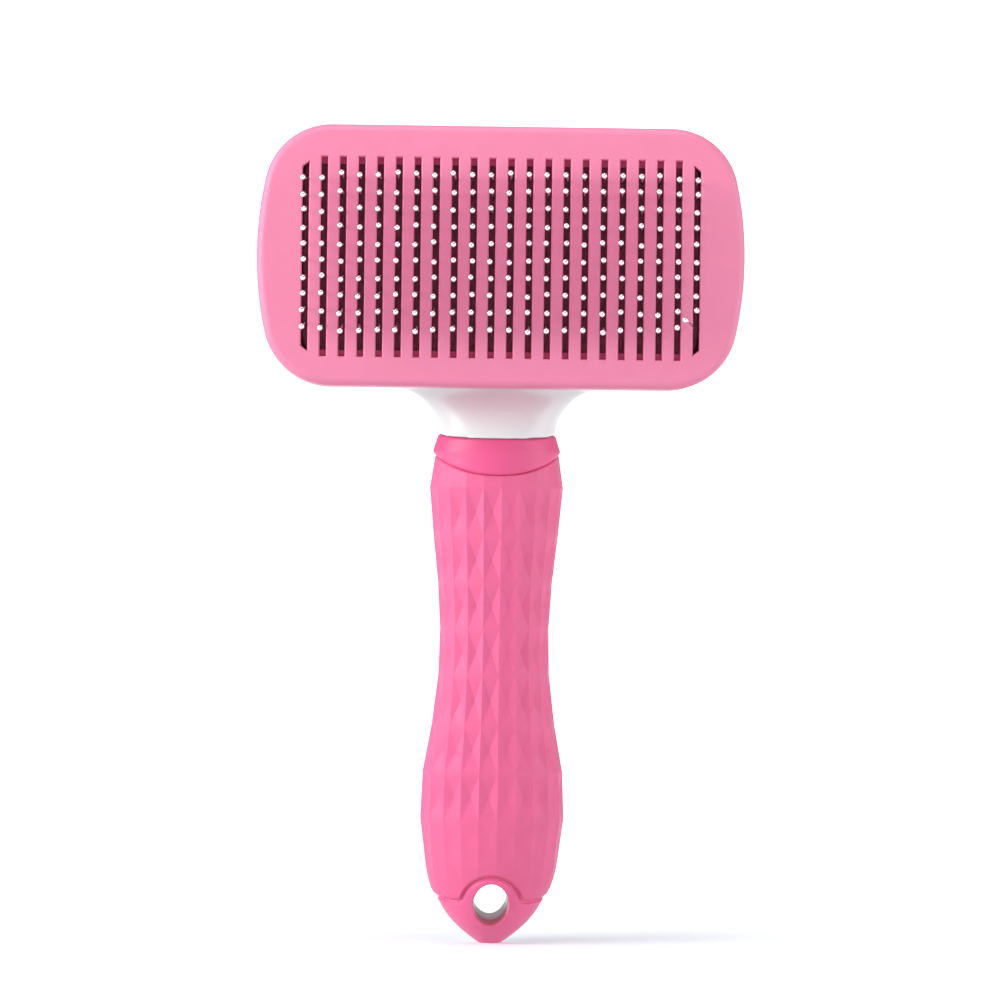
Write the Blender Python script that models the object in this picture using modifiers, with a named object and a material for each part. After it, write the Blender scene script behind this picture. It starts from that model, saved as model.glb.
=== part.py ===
"""Self-cleaning pet brush: wire pins in a slotted face plate that a button on the back pushes out.

The brush stands on the end of its handle, +Z up, with its pins towards -Y. All lengths are metres.
"""

import math

import bmesh
import bpy
import numpy as np
from mathutils import Matrix, Vector

# Whole brush
CLEARANCE = 0.0003
OVERSHOOT = 0.001
MERGE_GAP = 0.00001
SIDES = (("left", -1), ("right", 1))

# Head outline and face plate. Depths are measured backwards from the plate's front face.
FACE_Y = -0.0173
HEAD_Z = 0.1646
HEAD_HALF_WIDTH = 0.0575
HEAD_HALF_HEIGHT = 0.03075
CORNER_RADIUS = 0.016
SIDE_RADIUS = 0.085
PLATE_THICKNESS = 0.0022
EDGE_FILLET = 0.002
SKIRT_WALL = 0.0018
SKIRT_DEPTH = 0.0132
SLOT_COUNT = 22
SLOT_PITCH = 0.00439
SLOT_DROP = 0.00045
SLOT_WIDTH = 0.0015
SLOT_LENGTH = 0.0469
END_SLOT_LENGTH = 0.0446
END_SLOT_CHAMFER = 0.0013
RIB_INNER = 0.0219
RIB_OUTER = 0.0243
RIB_HALF_WIDTH = 0.0495
RIB_FRONT = 0.0020
RIB_BACK = 0.0027

# Pins, pad and the board behind them
PINS_PER_COLUMN = 10
PIN_ROOT_PITCH = 0.0038
PIN_ROOT_RISE = 0.0009
PIN_TIP_PITCH = 0.00405
EDGE_TIP_PITCH = 0.00385
EDGE_COLUMNS = 2
PIN_TIP_RISE = 0.0004
PIN_TIP_TURN = 0.0091
PIN_TIP_SHIFT = -0.0005
PIN_PROUD = 0.0105
WIRE_HALF = 0.0002
BALL_HALF = 0.0006
BALL_LENGTH = 0.0012
STRIP_HALF_LENGTH = 0.0180
STRIP_FRONT = 0.0038
STRIP_THICKNESS = 0.001
PAD_HALF_WIDTH = 0.04695
PAD_HALF_HEIGHT = 0.0248
PAD_FRONT = 0.003
PAD_THICKNESS = 0.0032
BASE_FRONT = 0.0065
BASE_THICKNESS = 0.002
BASE_SCREW_X = 0.050
BASE_SCREW_Z = 0.013
SHOULDER_INNER = 0.0475
SHOULDER_HALF_HEIGHT = 0.005

# Guide posts, springs and yoke
POST_X = 0.0506
POST_RADIUS = 0.0021
POST_START = 0.0012
POST_END = 0.0197
POST_BORE_START = 0.012
CUP_RADIUS = 0.0034
CUP_FLOOR = 0.0042
SPRING_RADIUS = 0.00275
SPRING_WIRE = 0.00022
SPRING_TURNS = 6.5
YOKE_FRONT = 0.020
YOKE_THICKNESS = 0.0028
YOKE_HALF_WIDTH = 0.0532
YOKE_HALF_HEIGHT = 0.0065

# Head shell and button
RIM_FRONT = 0.0032
SHELL_STEP = 0.0135
SHELL_WALL = 0.002
RIM_WALL = 0.0014
SHELL_ROUND_START = 0.019
SHELL_ROUND = 0.007
BUTTON_HALF_WIDTH = 0.019
BUTTON_HALF_HEIGHT = 0.0125
BUTTON_BACK = 0.038
BUTTON_WALL = 0.0016
BUTTON_SCREW_X = 0.010
BUTTON_GAP = 0.0004
BUTTON_DISH = 0.0008
BUTTON_ROUND = 0.0022
BUTTON_BOSS_END = 0.0362
BUTTON_BORE_END = 0.031
BASE_BOSS_END = 0.0245
BASE_BORE_END = 0.018
BOSS_RADIUS = 0.0026

# Screws: a pan head on a plain shank
SCREW_HEAD_RADIUS = 0.002
SCREW_HEAD_HEIGHT = 0.0012
SCREW_SHANK_RADIUS = 0.001
BORE_RADIUS = SCREW_SHANK_RADIUS + CLEARANCE
COUNTERBORE_RADIUS = SCREW_HEAD_RADIUS + CLEARANCE
BASE_SCREW_LENGTH = 0.010
SHORT_SCREW_LENGTH = 0.009

# Handle. Its axis leans back from the neck, and its sections stay level.
LEAN = math.tan(math.radians(6.0))
AXIS_TOP_Z = 0.124
AXIS_TOP_DEPTH = 0.022
NECK_BOTTOM = 0.1231
TOP_HALF_DEPTH = 0.012
COLLAR_SIDE_Z = 0.1184
COLLAR_DIP = 0.0052
FACET_COLUMNS = 21
FACET_DEPTH = 0.00065
FACET_ROWS = (0.1103, 0.0989, 0.0875, 0.0765, 0.0655, 0.0532, 0.0418, 0.0303, 0.0188)
SLEEVE_BOTTOM = 0.0109
SLEEVE_WALL = 0.0028
EYE_Z = 0.0109
EYE_HALF_WIDTH = 0.0043
EYE_HALF_HEIGHT = 0.0054
EYE_ARCH_RADIUS = 0.0072
TANG_HALF_WIDTH = 0.009
TANG_HALF_DEPTH = 0.005
TANG_DEPTH = 0.021
TANG_TOP = 0.1295
NECK_SCREW_X = 0.005
NECK_SCREW_Z = 0.1262
NECK_SCREW_SEAT = 0.0298
NECK_BORE = (0.021, 0.036)
TANG_BORE = (0.019, 0.028)
CORE_BOTTOM = 0.0095
BLANK_TOP = 0.024
FAR = 0.04

# Height, half width and half depth of the handle
HANDLE_SECTIONS = (
    (0.0, 0.0027, 0.0024),
    (0.0015, 0.0048, 0.0046),
    (0.0045, 0.0083, 0.0076),
    (0.0074, 0.0108, 0.0094),
    (0.0104, 0.0126, 0.0106),
    (0.0133, 0.0144, 0.0113),
    (0.0188, 0.0160, 0.0120),
    (0.0303, 0.0175, 0.0124),
    (0.0418, 0.0170, 0.0125),
    (0.0532, 0.0149, 0.0126),
    (0.0655, 0.0134, 0.0127),
    (0.0765, 0.01313, 0.0128),
    (0.0875, 0.0138, 0.0129),
    (0.0989, 0.01505, 0.0130),
    (0.1103, 0.0161, 0.0130),
    (0.1170, 0.0151, 0.0128),
    (0.1190, 0.0153, 0.0127),
    (0.1231, 0.0140, TOP_HALF_DEPTH),
)

# Height, half width, front depth and back depth of the neck
NECK_SECTIONS = (
    (NECK_BOTTOM, 0.0140, 0.0100, 0.0340),
    (0.1248, 0.0141, 0.0104, 0.0323),
    (0.1266, 0.0146, 0.0110, 0.0308),
    (0.1285, 0.0156, 0.0117, 0.0294),
    (0.1300, 0.0168, 0.0124, 0.0282),
    (0.1314, 0.0180, 0.0130, 0.0272),
    (0.1324, 0.0194, 0.0134, 0.0266),
    (0.1333, 0.0212, 0.0136, 0.0262),
    (0.1340, 0.0236, 0.0138, 0.0259),
    (0.1345, 0.0262, 0.0139, 0.0257),
    (0.1380, 0.0290, 0.0144, 0.0248),
)

PART_NAME = "bristle_brush"


# Scene, materials and objects


def clear_scene():
    for old in list(bpy.data.objects):
        bpy.data.objects.remove(old, do_unlink=True)


def make_collection(name):
    made = bpy.data.collections.new(name)
    bpy.context.scene.collection.children.link(made)
    return made


def make_material(name, color, roughness, metallic=0.0):
    made = bpy.data.materials.new(name)
    made.use_nodes = True
    shader = made.node_tree.nodes["Principled BSDF"]
    shader.inputs["Base Color"].default_value = (*color, 1.0)
    shader.inputs["Roughness"].default_value = roughness
    shader.inputs["Metallic"].default_value = metallic
    return made


def add_object(name, mesh, material=None):
    """A part in the brush's collection, or a cutter when it has no material."""
    made = bpy.data.objects.new(name, mesh)
    if material:
        mesh.materials.append(material)
        PARTS.objects.link(made)
    else:
        CUTTERS.objects.link(made)
        made.hide_render = True
        made.display_type = "WIRE"
    return made


def mesh_from(name, shape):
    mesh = bpy.data.meshes.new(name)
    bmesh.ops.recalc_face_normals(shape, faces=shape.faces)
    shape.to_mesh(mesh)
    shape.free()
    return mesh


def combine(target, tool, operation):
    change = target.modifiers.new(f"{operation.lower()} {tool.name}", "BOOLEAN")
    change.operation = operation
    change.solver = "EXACT"
    change.object = tool


def cut(target, *tools):
    for tool in tools:
        combine(target, tool, "DIFFERENCE")


def join(target, *tools):
    for tool in tools:
        combine(target, tool, "UNION")


# Shapes


def loft(name, rings, material=None):
    """A closed solid through rings of points, each with the same count, capped at both ends."""
    shape = bmesh.new()
    loops = [[shape.verts.new(point) for point in ring] for ring in rings]
    for lower, upper in zip(loops, loops[1:]):
        count = len(lower)
        for i in range(count):
            j = (i + 1) % count
            shape.faces.new((lower[i], lower[j], upper[j], upper[i]))
    shape.faces.new(reversed(loops[0]))
    shape.faces.new(loops[-1])
    return add_object(name, mesh_from(name, shape), material)


def prism(name, outline, front, back, material=None):
    """An outline of (x, z) points about the head's centre, drawn out between two depths."""
    return loft(name, [at_depth(outline, front), at_depth(outline, back)], material)


def at_depth(outline, depth):
    return [(x, FACE_Y + depth, HEAD_Z + z) for x, z in outline]


def rod(name, x, z, radius, front, back, material=None, sides=10):
    """A round bar along Y, given by its place on the head and its two depths."""
    shape = bmesh.new()
    middle = Vector((x, FACE_Y + (front + back) / 2, z))
    turn = Matrix.Rotation(math.pi / 2, 4, "X")
    bmesh.ops.create_cone(
        shape,
        cap_ends=True,
        segments=sides,
        radius1=radius,
        radius2=radius,
        depth=back - front,
        matrix=Matrix.Translation(middle) @ turn,
    )
    return add_object(name, mesh_from(name, shape), material)


def block(name, low, high, material=None):
    """A box between two corners."""
    shape = bmesh.new()
    low = Vector(low)
    high = Vector(high)
    size = Matrix.Diagonal((*(high - low), 1.0))
    bmesh.ops.create_cube(shape, size=1.0, matrix=Matrix.Translation((low + high) / 2) @ size)
    return add_object(name, mesh_from(name, shape), material)


def oval(half_width, half_height, power=2.5, count=24):
    """Points (x, z) round a superellipse."""
    points = []
    for i in range(count):
        angle = 2 * math.pi * i / count
        across = math.cos(angle)
        up = math.sin(angle)
        x = math.copysign(abs(across) ** (2 / power), across)
        z = math.copysign(abs(up) ** (2 / power), up)
        points.append((half_width * x, half_height * z))
    return points


def head_outline(inset=0.0, corner_steps=6, side_steps=4):
    """Points (x, z) round the head: straight top and bottom, round corners and bowed sides."""
    side_x = HEAD_HALF_WIDTH - SIDE_RADIUS
    corner_z = HEAD_HALF_HEIGHT - CORNER_RADIUS
    reach = SIDE_RADIUS - CORNER_RADIUS
    corner_x = side_x + math.sqrt(reach**2 - corner_z**2)
    meet = math.asin(corner_z / reach)
    right = []
    for i in range(corner_steps):
        angle = -math.pi / 2 + (math.pi / 2 - meet) * i / corner_steps
        radius = CORNER_RADIUS - inset
        right.append((corner_x + radius * math.cos(angle), -corner_z + radius * math.sin(angle)))
    for i in range(side_steps + 1):
        angle = meet * (2 * i / side_steps - 1)
        radius = SIDE_RADIUS - inset
        right.append((side_x + radius * math.cos(angle), radius * math.sin(angle)))
    right += [(x, -z) for x, z in reversed(right[:corner_steps])]
    return right + [(-x, -z) for x, z in right]


def head_rings(steps):
    """Rings of the head's outline from (inset, depth) pairs."""
    return [at_depth(head_outline(inset), depth) for inset, depth in steps]


def rounded(inset, depth, radius, steps=3):
    """(inset, depth) pairs of a quarter round that turns from a wall into a back face."""
    pairs = []
    for i in range(1, steps + 1):
        angle = math.pi / 2 * i / steps
        pairs.append((inset + radius * (1 - math.cos(angle)), depth + radius * math.sin(angle)))
    return pairs


# Head


def make_face_plate(material):
    """The slotted plate with its skirt, two ribs behind the slots' ends and two guide posts."""
    edge = rounded(0.0, -EDGE_FILLET, EDGE_FILLET)
    front = [(inset, -depth) for inset, depth in edge]
    steps = [
        (SKIRT_WALL, PLATE_THICKNESS),
        (SKIRT_WALL, SKIRT_DEPTH),
        (0.0, SKIRT_DEPTH),
        (0.0, EDGE_FILLET),
        *front,
    ]
    plate = loft("face_plate", head_rings(steps), material)
    for column in range(SLOT_COUNT):
        cut(plate, slot_cutter(column))
    middle = HEAD_Z - SLOT_DROP
    for name, up in (("upper", 1), ("lower", -1)):
        edges = sorted((up * RIB_INNER, up * RIB_OUTER))
        rib = block(
            f"rib_{name}",
            (-RIB_HALF_WIDTH, FACE_Y + RIB_FRONT, middle + edges[0]),
            (RIB_HALF_WIDTH, FACE_Y + RIB_BACK, middle + edges[1]),
        )
        join(plate, rib)
    for side, x in SIDES:
        post = rod(f"post_{side}", x * POST_X, HEAD_Z, POST_RADIUS, POST_START, POST_END)
        bore_end = POST_END + OVERSHOOT
        bore = rod(f"post_bore_{side}", x * POST_X, HEAD_Z, BORE_RADIUS, POST_BORE_START, bore_end)
        join(plate, post)
        cut(plate, bore)
    return plate


def column_x(column):
    return SLOT_PITCH * (column - (SLOT_COUNT - 1) / 2)


def slot_cutter(column):
    """One slot. The outermost two are shorter, with their outer corners cut off."""
    x = column_x(column)
    half = SLOT_WIDTH / 2
    outline = [(-half, -SLOT_LENGTH / 2), (half, -SLOT_LENGTH / 2)]
    if column in (0, SLOT_COUNT - 1):
        outer = math.copysign(1, x)
        end = END_SLOT_LENGTH / 2
        outline = [(-half * outer, -end), (half * outer, -end + END_SLOT_CHAMFER)]
        if outer < 0:
            outline.reverse()
    outline += [(across, -up) for across, up in reversed(outline)]
    placed = [(x + across, up - SLOT_DROP) for across, up in outline]
    return prism(f"slot_{column + 1:02d}", placed, -OVERSHOOT, PLATE_THICKNESS + OVERSHOOT)


def make_pin_column(column, material):
    """Ten wire pins on the strip that holds their roots, raised out of the strip's front."""
    shape = bmesh.new()
    middle = (PINS_PER_COLUMN - 1) / 2
    stations = [PIN_ROOT_RISE - STRIP_HALF_LENGTH]
    for pin in range(PINS_PER_COLUMN):
        root = PIN_ROOT_RISE + PIN_ROOT_PITCH * (pin - middle)
        stations += [root - WIRE_HALF, root + WIRE_HALF]
    stations.append(PIN_ROOT_RISE + STRIP_HALF_LENGTH)
    x = column_x(column)
    front = FACE_Y + STRIP_FRONT
    back = front + STRIP_THICKNESS
    left = [shape.verts.new((x - WIRE_HALF, front, HEAD_Z + z)) for z in stations]
    right = [shape.verts.new((x + WIRE_HALF, front, HEAD_Z + z)) for z in stations]
    far_left = [shape.verts.new((vert.co.x, back, vert.co.z)) for vert in (left[-1], left[0])]
    far_right = [shape.verts.new((vert.co.x, back, vert.co.z)) for vert in (right[-1], right[0])]
    cells = []
    for i in range(len(stations) - 1):
        cells.append(shape.faces.new((left[i], right[i], right[i + 1], left[i + 1])))
    shape.faces.new(left + far_left)
    shape.faces.new(right + far_right)
    shape.faces.new((left[-1], right[-1], far_right[0], far_left[0]))
    shape.faces.new((left[0], right[0], far_right[1], far_left[1]))
    shape.faces.new((*far_left, far_right[1], far_right[0]))
    outer = min(column, SLOT_COUNT - 1 - column) < EDGE_COLUMNS
    pitch = EDGE_TIP_PITCH if outer else PIN_TIP_PITCH
    for pin, seat in enumerate(cells[1::2]):
        place = pin - middle
        root_up = PIN_ROOT_RISE + PIN_ROOT_PITCH * place
        tip_up = PIN_TIP_RISE + pitch * place + PIN_TIP_TURN * x
        raise_pin(shape, seat, x, root_up, tip_up)
    return add_object(f"pin_column_{column + 1:02d}", mesh_from("pin_column", shape), material)


def raise_pin(shape, seat, x, root_up, tip_up):
    """Draws one pin out of a face of the strip: wire, then the ball at its tip."""
    root = Vector((x, FACE_Y + STRIP_FRONT, HEAD_Z + root_up))
    tip = Vector((x + PIN_TIP_SHIFT, FACE_Y - PIN_PROUD, HEAD_Z + tip_up))
    along = (tip - root).normalized()
    face = seat
    levels = (
        (tip - along * BALL_LENGTH, WIRE_HALF),
        (tip - along * BALL_LENGTH / 2, BALL_HALF),
        (tip, BALL_HALF / 2),
    )
    for centre, half in levels:
        face = bmesh.ops.extrude_discrete_faces(shape, faces=[face])["faces"][0]
        square_up(face, centre, half)


def square_up(face, centre, half):
    """Moves the corners of a four-sided face onto a square about its centre."""
    middle = face.calc_center_median()
    for vert in face.verts:
        side = 1 if vert.co.x > middle.x else -1
        up = 1 if vert.co.z > middle.z else -1
        vert.co = centre + Vector((side * half, 0.0, up * half))


def make_pin_pad(material):
    """The dark cushion, with a groove for each column's strip."""
    outline = oval(PAD_HALF_WIDTH, PAD_HALF_HEIGHT, 12.0, 20)
    pad = prism("pin_pad", outline, PAD_FRONT, PAD_FRONT + PAD_THICKNESS, material)
    groove_half = WIRE_HALF + CLEARANCE
    groove_end = STRIP_HALF_LENGTH + CLEARANCE
    floor = STRIP_FRONT + STRIP_THICKNESS + CLEARANCE
    middle = HEAD_Z + PIN_ROOT_RISE
    for column in range(SLOT_COUNT):
        x = column_x(column)
        groove = block(
            f"groove_{column + 1:02d}",
            (x - groove_half, FACE_Y + PAD_FRONT - OVERSHOOT, middle - groove_end),
            (x + groove_half, FACE_Y + floor, middle + groove_end),
        )
        cut(pad, groove)
    return pad


def make_pin_base(material):
    """The board behind the pad. At each end it steps forward round a cup for the spring."""
    outline = head_outline(SKIRT_WALL + RIM_WALL + 2 * CLEARANCE)
    base = prism("pin_base", outline, BASE_FRONT, BASE_FRONT + BASE_THICKNESS, material)
    back = BASE_FRONT + BASE_THICKNESS + OVERSHOOT
    for side, x in SIDES:
        edges = sorted((x * SHOULDER_INNER, x * YOKE_HALF_WIDTH))
        shoulder = block(
            f"shoulder_{side}",
            (edges[0], FACE_Y + PAD_FRONT, HEAD_Z - SHOULDER_HALF_HEIGHT),
            (edges[1], FACE_Y + BASE_FRONT + CLEARANCE, HEAD_Z + SHOULDER_HALF_HEIGHT),
        )
        join(base, shoulder)
        hole_radius = POST_RADIUS + CLEARANCE
        hole_front = PAD_FRONT - OVERSHOOT
        pocket = rod(f"pocket_{side}", x * POST_X, HEAD_Z, CUP_RADIUS, CUP_FLOOR, back)
        post_hole = rod(f"post_hole_{side}", x * POST_X, HEAD_Z, hole_radius, hole_front, back)
        cut(base, pocket, post_hole)
    for name, x, z in base_screw_places():
        cut(base, rod(f"{name}_hole", x, z, BORE_RADIUS, BASE_FRONT - OVERSHOOT, back))
    return base


def base_screw_places():
    return [
        (f"base_screw_{row}_{side}", x * BASE_SCREW_X, HEAD_Z + z * BASE_SCREW_Z)
        for row, z in (("upper", 1), ("lower", -1))
        for side, x in SIDES
    ]


def make_head_shell(material):
    """The bowl with its rim inside the skirt, the neck, screw bosses and the button's opening."""
    rim_inset = SKIRT_WALL + CLEARANCE
    outer = [
        (rim_inset, RIM_FRONT),
        (rim_inset, SHELL_STEP),
        (0.0, SHELL_STEP),
        (0.0, SHELL_ROUND_START),
        *rounded(0.0, SHELL_ROUND_START, SHELL_ROUND),
    ]
    hollow = [
        (rim_inset + RIM_WALL, RIM_FRONT - OVERSHOOT),
        (rim_inset + RIM_WALL, SHELL_STEP),
        (SHELL_WALL, SHELL_STEP + SKIRT_WALL),
        (SHELL_WALL, SHELL_ROUND_START),
        *rounded(SHELL_WALL, SHELL_ROUND_START, SHELL_ROUND - SHELL_WALL),
    ]
    shell = loft("head_shell", head_rings(outer), material)
    join(shell, make_neck())
    cut(shell, loft("bowl_hollow", head_rings(hollow)))
    for name, x, z in base_screw_places():
        boss_front = BASE_FRONT + BASE_THICKNESS + CLEARANCE
        join(shell, rod(f"{name}_boss", x, z, BOSS_RADIUS, boss_front, BASE_BOSS_END))
        cut(shell, rod(f"{name}_bore", x, z, BORE_RADIUS, boss_front - OVERSHOOT, BASE_BORE_END))
    shell_back = SHELL_ROUND_START + SHELL_ROUND
    opening = oval(BUTTON_HALF_WIDTH + BUTTON_GAP, BUTTON_HALF_HEIGHT + BUTTON_GAP)
    inside = shell_back - SHELL_WALL - OVERSHOOT
    cut(shell, prism("button_opening", opening, inside, shell_back + OVERSHOOT))
    socket_bottom = NECK_BOTTOM - 2 * OVERSHOOT
    cut(shell, tang_block("tang_socket", CLEARANCE, socket_bottom, TANG_TOP + CLEARANCE))
    for side, x in SIDES:
        place = (x * NECK_SCREW_X, NECK_SCREW_Z)
        sink_front = NECK_SCREW_SEAT - CLEARANCE
        cut(shell, rod(f"neck_bore_{side}", *place, BORE_RADIUS, *NECK_BORE))
        cut(shell, rod(f"neck_sink_{side}", *place, COUNTERBORE_RADIUS, sink_front, NECK_BORE[1]))
    return shell


def make_neck():
    """A loft of flattened ovals that widens into the bowl. Its foot is square to the handle."""
    rings = []
    for z, half_width, front, back in NECK_SECTIONS:
        outline = oval(half_width, (back - front) / 2, 2.3)
        middle = FACE_Y + (front + back) / 2
        tilt = LEAN if z == NECK_BOTTOM else 0.0
        rings.append([(x, middle + y, z + y * tilt) for x, y in outline])
    return loft("neck", rings)


def tang_block(name, gap, bottom, top, material=None):
    outline = oval(TANG_HALF_WIDTH + gap, TANG_HALF_DEPTH + gap, 2.6, 16)
    middle = FACE_Y + TANG_DEPTH
    return loft(name, [[(x, middle + y, z) for x, y in outline] for z in (bottom, top)], material)


def make_push_button(material):
    """An oval cap, open towards the yoke, with a dished back and two screw bosses."""
    front = YOKE_FRONT + YOKE_THICKNESS + CLEARANCE
    width = BUTTON_HALF_WIDTH
    height = BUTTON_HALF_HEIGHT
    wall = BUTTON_WALL
    inside = BUTTON_BACK - BUTTON_DISH - wall
    steps = [
        (width / 2, height / 2, inside - wall / 4),
        (width - wall * 1.6, height - wall * 1.6, inside),
        (width - wall, height - wall, front),
        (width, height, front),
    ]
    round_start = BUTTON_BACK - BUTTON_ROUND
    steps.append((width, height, round_start))
    for inset, depth in rounded(0.0, round_start, BUTTON_ROUND):
        steps.append((width - inset, height - inset, depth))
    steps.append((width * 0.6, height * 0.6, BUTTON_BACK - BUTTON_DISH * 0.6))
    steps.append((width * 0.3, height * 0.3, BUTTON_BACK - BUTTON_DISH))
    button = loft("push_button", [at_depth(oval(w, h), d) for w, h, d in steps], material)
    for side, x in SIDES:
        place = (x * BUTTON_SCREW_X, HEAD_Z)
        join(button, rod(f"button_boss_{side}", *place, BOSS_RADIUS, front, BUTTON_BOSS_END))
        bore_front = front - OVERSHOOT
        cut(button, rod(f"button_bore_{side}", *place, BORE_RADIUS, bore_front, BUTTON_BORE_END))
    return button


def make_push_yoke(material):
    """The bar that carries the button and ends at the two posts."""
    back = YOKE_FRONT + YOKE_THICKNESS
    outline = oval(YOKE_HALF_WIDTH, YOKE_HALF_HEIGHT, 9.0, 20)
    yoke = prism("push_yoke", outline, YOKE_FRONT, back, material)
    sunk = SCREW_HEAD_HEIGHT + 2 * CLEARANCE
    for side, x in SIDES:
        for kind, place, head_from, head_to in (
            ("plate", x * POST_X, back - sunk, back + OVERSHOOT),
            ("button", x * BUTTON_SCREW_X, YOKE_FRONT - OVERSHOOT, YOKE_FRONT + sunk),
        ):
            hole_ends = (YOKE_FRONT - OVERSHOOT, back + OVERSHOOT)
            cut(yoke, rod(f"{kind}_hole_{side}", place, HEAD_Z, BORE_RADIUS, *hole_ends))
            sink_ends = (head_from, head_to)
            cut(yoke, rod(f"{kind}_sink_{side}", place, HEAD_Z, COUNTERBORE_RADIUS, *sink_ends))
    return yoke


def make_screw(name, x, z, seat, length, into_back, material):
    """A turned screw along Y. Its head sits at the depth seat and its shank runs on from there."""
    shank = SCREW_SHANK_RADIUS
    head = SCREW_HEAD_RADIUS
    profile = [
        (0.0, SCREW_HEAD_HEIGHT),
        (head * 0.7, SCREW_HEAD_HEIGHT),
        (head, SCREW_HEAD_HEIGHT * 0.4),
        (head, 0.0),
        (shank, 0.0),
        (shank, -length + shank),
        (0.0, -length),
    ]
    shape = bmesh.new()
    line = [shape.verts.new((radius, 0.0, height)) for radius, height in profile]
    for start, end in zip(line, line[1:]):
        shape.edges.new((start, end))
    mesh = bpy.data.meshes.new(name)
    shape.to_mesh(mesh)
    shape.free()
    screw = add_object(name, mesh, material)
    turned = screw.modifiers.new("turn", "SCREW")
    turned.axis = "Z"
    turned.angle = 2 * math.pi
    turned.steps = 10
    turned.render_steps = 10
    turned.use_merge_vertices = True
    turned.merge_threshold = MERGE_GAP
    quarter = math.pi / 2 if into_back else -math.pi / 2
    screw.rotation_euler = (quarter, 0.0, 0.0)
    screw.location = (x, FACE_Y + seat, z)
    return screw


def make_spring(name, x, material):
    """A return spring round a post, from the cup's floor to the yoke."""
    start = CUP_FLOOR + CLEARANCE + SPRING_WIRE
    end = YOKE_FRONT - CLEARANCE - SPRING_WIRE
    steps = int(SPRING_TURNS * 8)
    curve = bpy.data.curves.new(name, "CURVE")
    curve.dimensions = "3D"
    curve.bevel_depth = SPRING_WIRE
    curve.bevel_resolution = 0
    curve.use_fill_caps = True
    wire = curve.splines.new("POLY")
    wire.points.add(steps)
    for i, point in enumerate(wire.points):
        angle = 2 * math.pi * SPRING_TURNS * i / steps
        point.co = (
            x + SPRING_RADIUS * math.cos(angle),
            FACE_Y + start + (end - start) * i / steps,
            HEAD_Z + SPRING_RADIUS * math.sin(angle),
            1.0,
        )
    return add_object(name, curve, material)


# Handle


def axis_y(z):
    return FACE_Y + AXIS_TOP_DEPTH + (AXIS_TOP_Z - z) * LEAN


def half_sizes(z):
    """The handle's half width and half depth at a height."""
    heights, widths, depths = zip(*HANDLE_SECTIONS)
    return np.interp(z, heights, widths), np.interp(z, heights, depths)


def section_heights(low, high):
    """The heights of HANDLE_SECTIONS above low and up to high."""
    return [z for z, _, _ in HANDLE_SECTIONS if low < z <= high]


def section_angles(half_width, half_depth, count):
    """Angles that space points evenly along an ellipse, from its right-hand end."""
    angles = np.linspace(0.0, 2 * math.pi, 361)
    x = half_width * np.cos(angles)
    y = half_depth * np.sin(angles)
    run = np.concatenate(([0.0], np.cumsum(np.hypot(np.diff(x), np.diff(y)))))
    return np.interp(np.arange(count) / count * run[-1], run, angles)


def handle_ring(z, inset=0.0, count=FACET_COLUMNS, shift=None):
    """A ring round the handle. shift moves each of its points up by a function of the angle."""
    ring = []
    for angle in section_angles(*half_sizes(z), count):
        height = z + (shift(angle) if shift else 0.0)
        half_width, half_depth = half_sizes(height)
        x = (half_width - inset) * math.cos(angle)
        ring.append((x, axis_y(height) - (half_depth - inset) * math.sin(angle), height))
    return ring


def collar_curve(angle):
    """The collar's lower edge dips in the middle of the front and of the back."""
    return -COLLAR_DIP * abs(math.sin(angle)) ** 1.5


def top_tilt(angle):
    """The joint under the neck is square to the handle, so its front is lower."""
    return -TOP_HALF_DEPTH * LEAN * math.sin(angle)


def sleeve_shape(outer, inner):
    """A sleeve through outer rings, listed top down, and inner rings, listed bottom up."""
    shape = bmesh.new()
    loops = [[shape.verts.new(point) for point in ring] for ring in outer + inner]
    for this, after in zip(loops, loops[1:] + loops[:1]):
        count = len(this)
        for i in range(count):
            j = (i + 1) % count
            shape.faces.new((this[i], this[j], after[j], after[i]))
    return shape


def make_collar_ring(material):
    top = NECK_BOTTOM - CLEARANCE
    round_off = 2 * CLEARANCE
    wall = SLEEVE_WALL - CLEARANCE
    outer = [
        handle_ring(top, round_off, shift=top_tilt),
        handle_ring(top - round_off, shift=top_tilt),
        handle_ring(COLLAR_SIDE_Z + round_off, shift=collar_curve),
        handle_ring(COLLAR_SIDE_Z, CLEARANCE, shift=collar_curve),
    ]
    inner = [
        handle_ring(COLLAR_SIDE_Z, wall, shift=collar_curve),
        handle_ring(top - 2 * OVERSHOOT, wall, shift=top_tilt),
        handle_ring(top, wall, shift=top_tilt),
    ]
    return add_object("collar_ring", mesh_from("collar_ring", sleeve_shape(outer, inner)), material)


def make_grip_sleeve(material):
    """The rubber sleeve. Each cell of its surface is a shallow four-sided hollow."""
    top_curve = COLLAR_SIDE_Z - CLEARANCE
    outer = [handle_ring(top_curve, 2 * CLEARANCE, shift=collar_curve)]
    outer += [handle_ring(z) for z in FACET_ROWS]
    outer.append(handle_ring(SLEEVE_BOTTOM, CLEARANCE))
    inner = [
        handle_ring(SLEEVE_BOTTOM, SLEEVE_WALL),
        *[handle_ring(z, SLEEVE_WALL) for z in section_heights(SLEEVE_BOTTOM, FACET_ROWS[0])],
        handle_ring(top_curve, SLEEVE_WALL, shift=collar_curve),
    ]
    shape = sleeve_shape(outer, inner)
    shape.faces.ensure_lookup_table()
    first = FACET_COLUMNS
    cells = shape.faces[first : first + FACET_COLUMNS * (len(FACET_ROWS) - 1)]
    poked = bmesh.ops.poke(shape, faces=cells)
    for vert in poked["verts"]:
        middle = Vector((0.0, axis_y(vert.co.z), vert.co.z))
        vert.co += (middle - vert.co).normalized() * FACET_DEPTH
    sleeve = add_object("grip_sleeve", mesh_from("grip_sleeve", shape), material)
    cut(sleeve, eye_rod("sleeve_arch", EYE_ARCH_RADIUS + CLEARANCE))
    return sleeve


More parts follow.
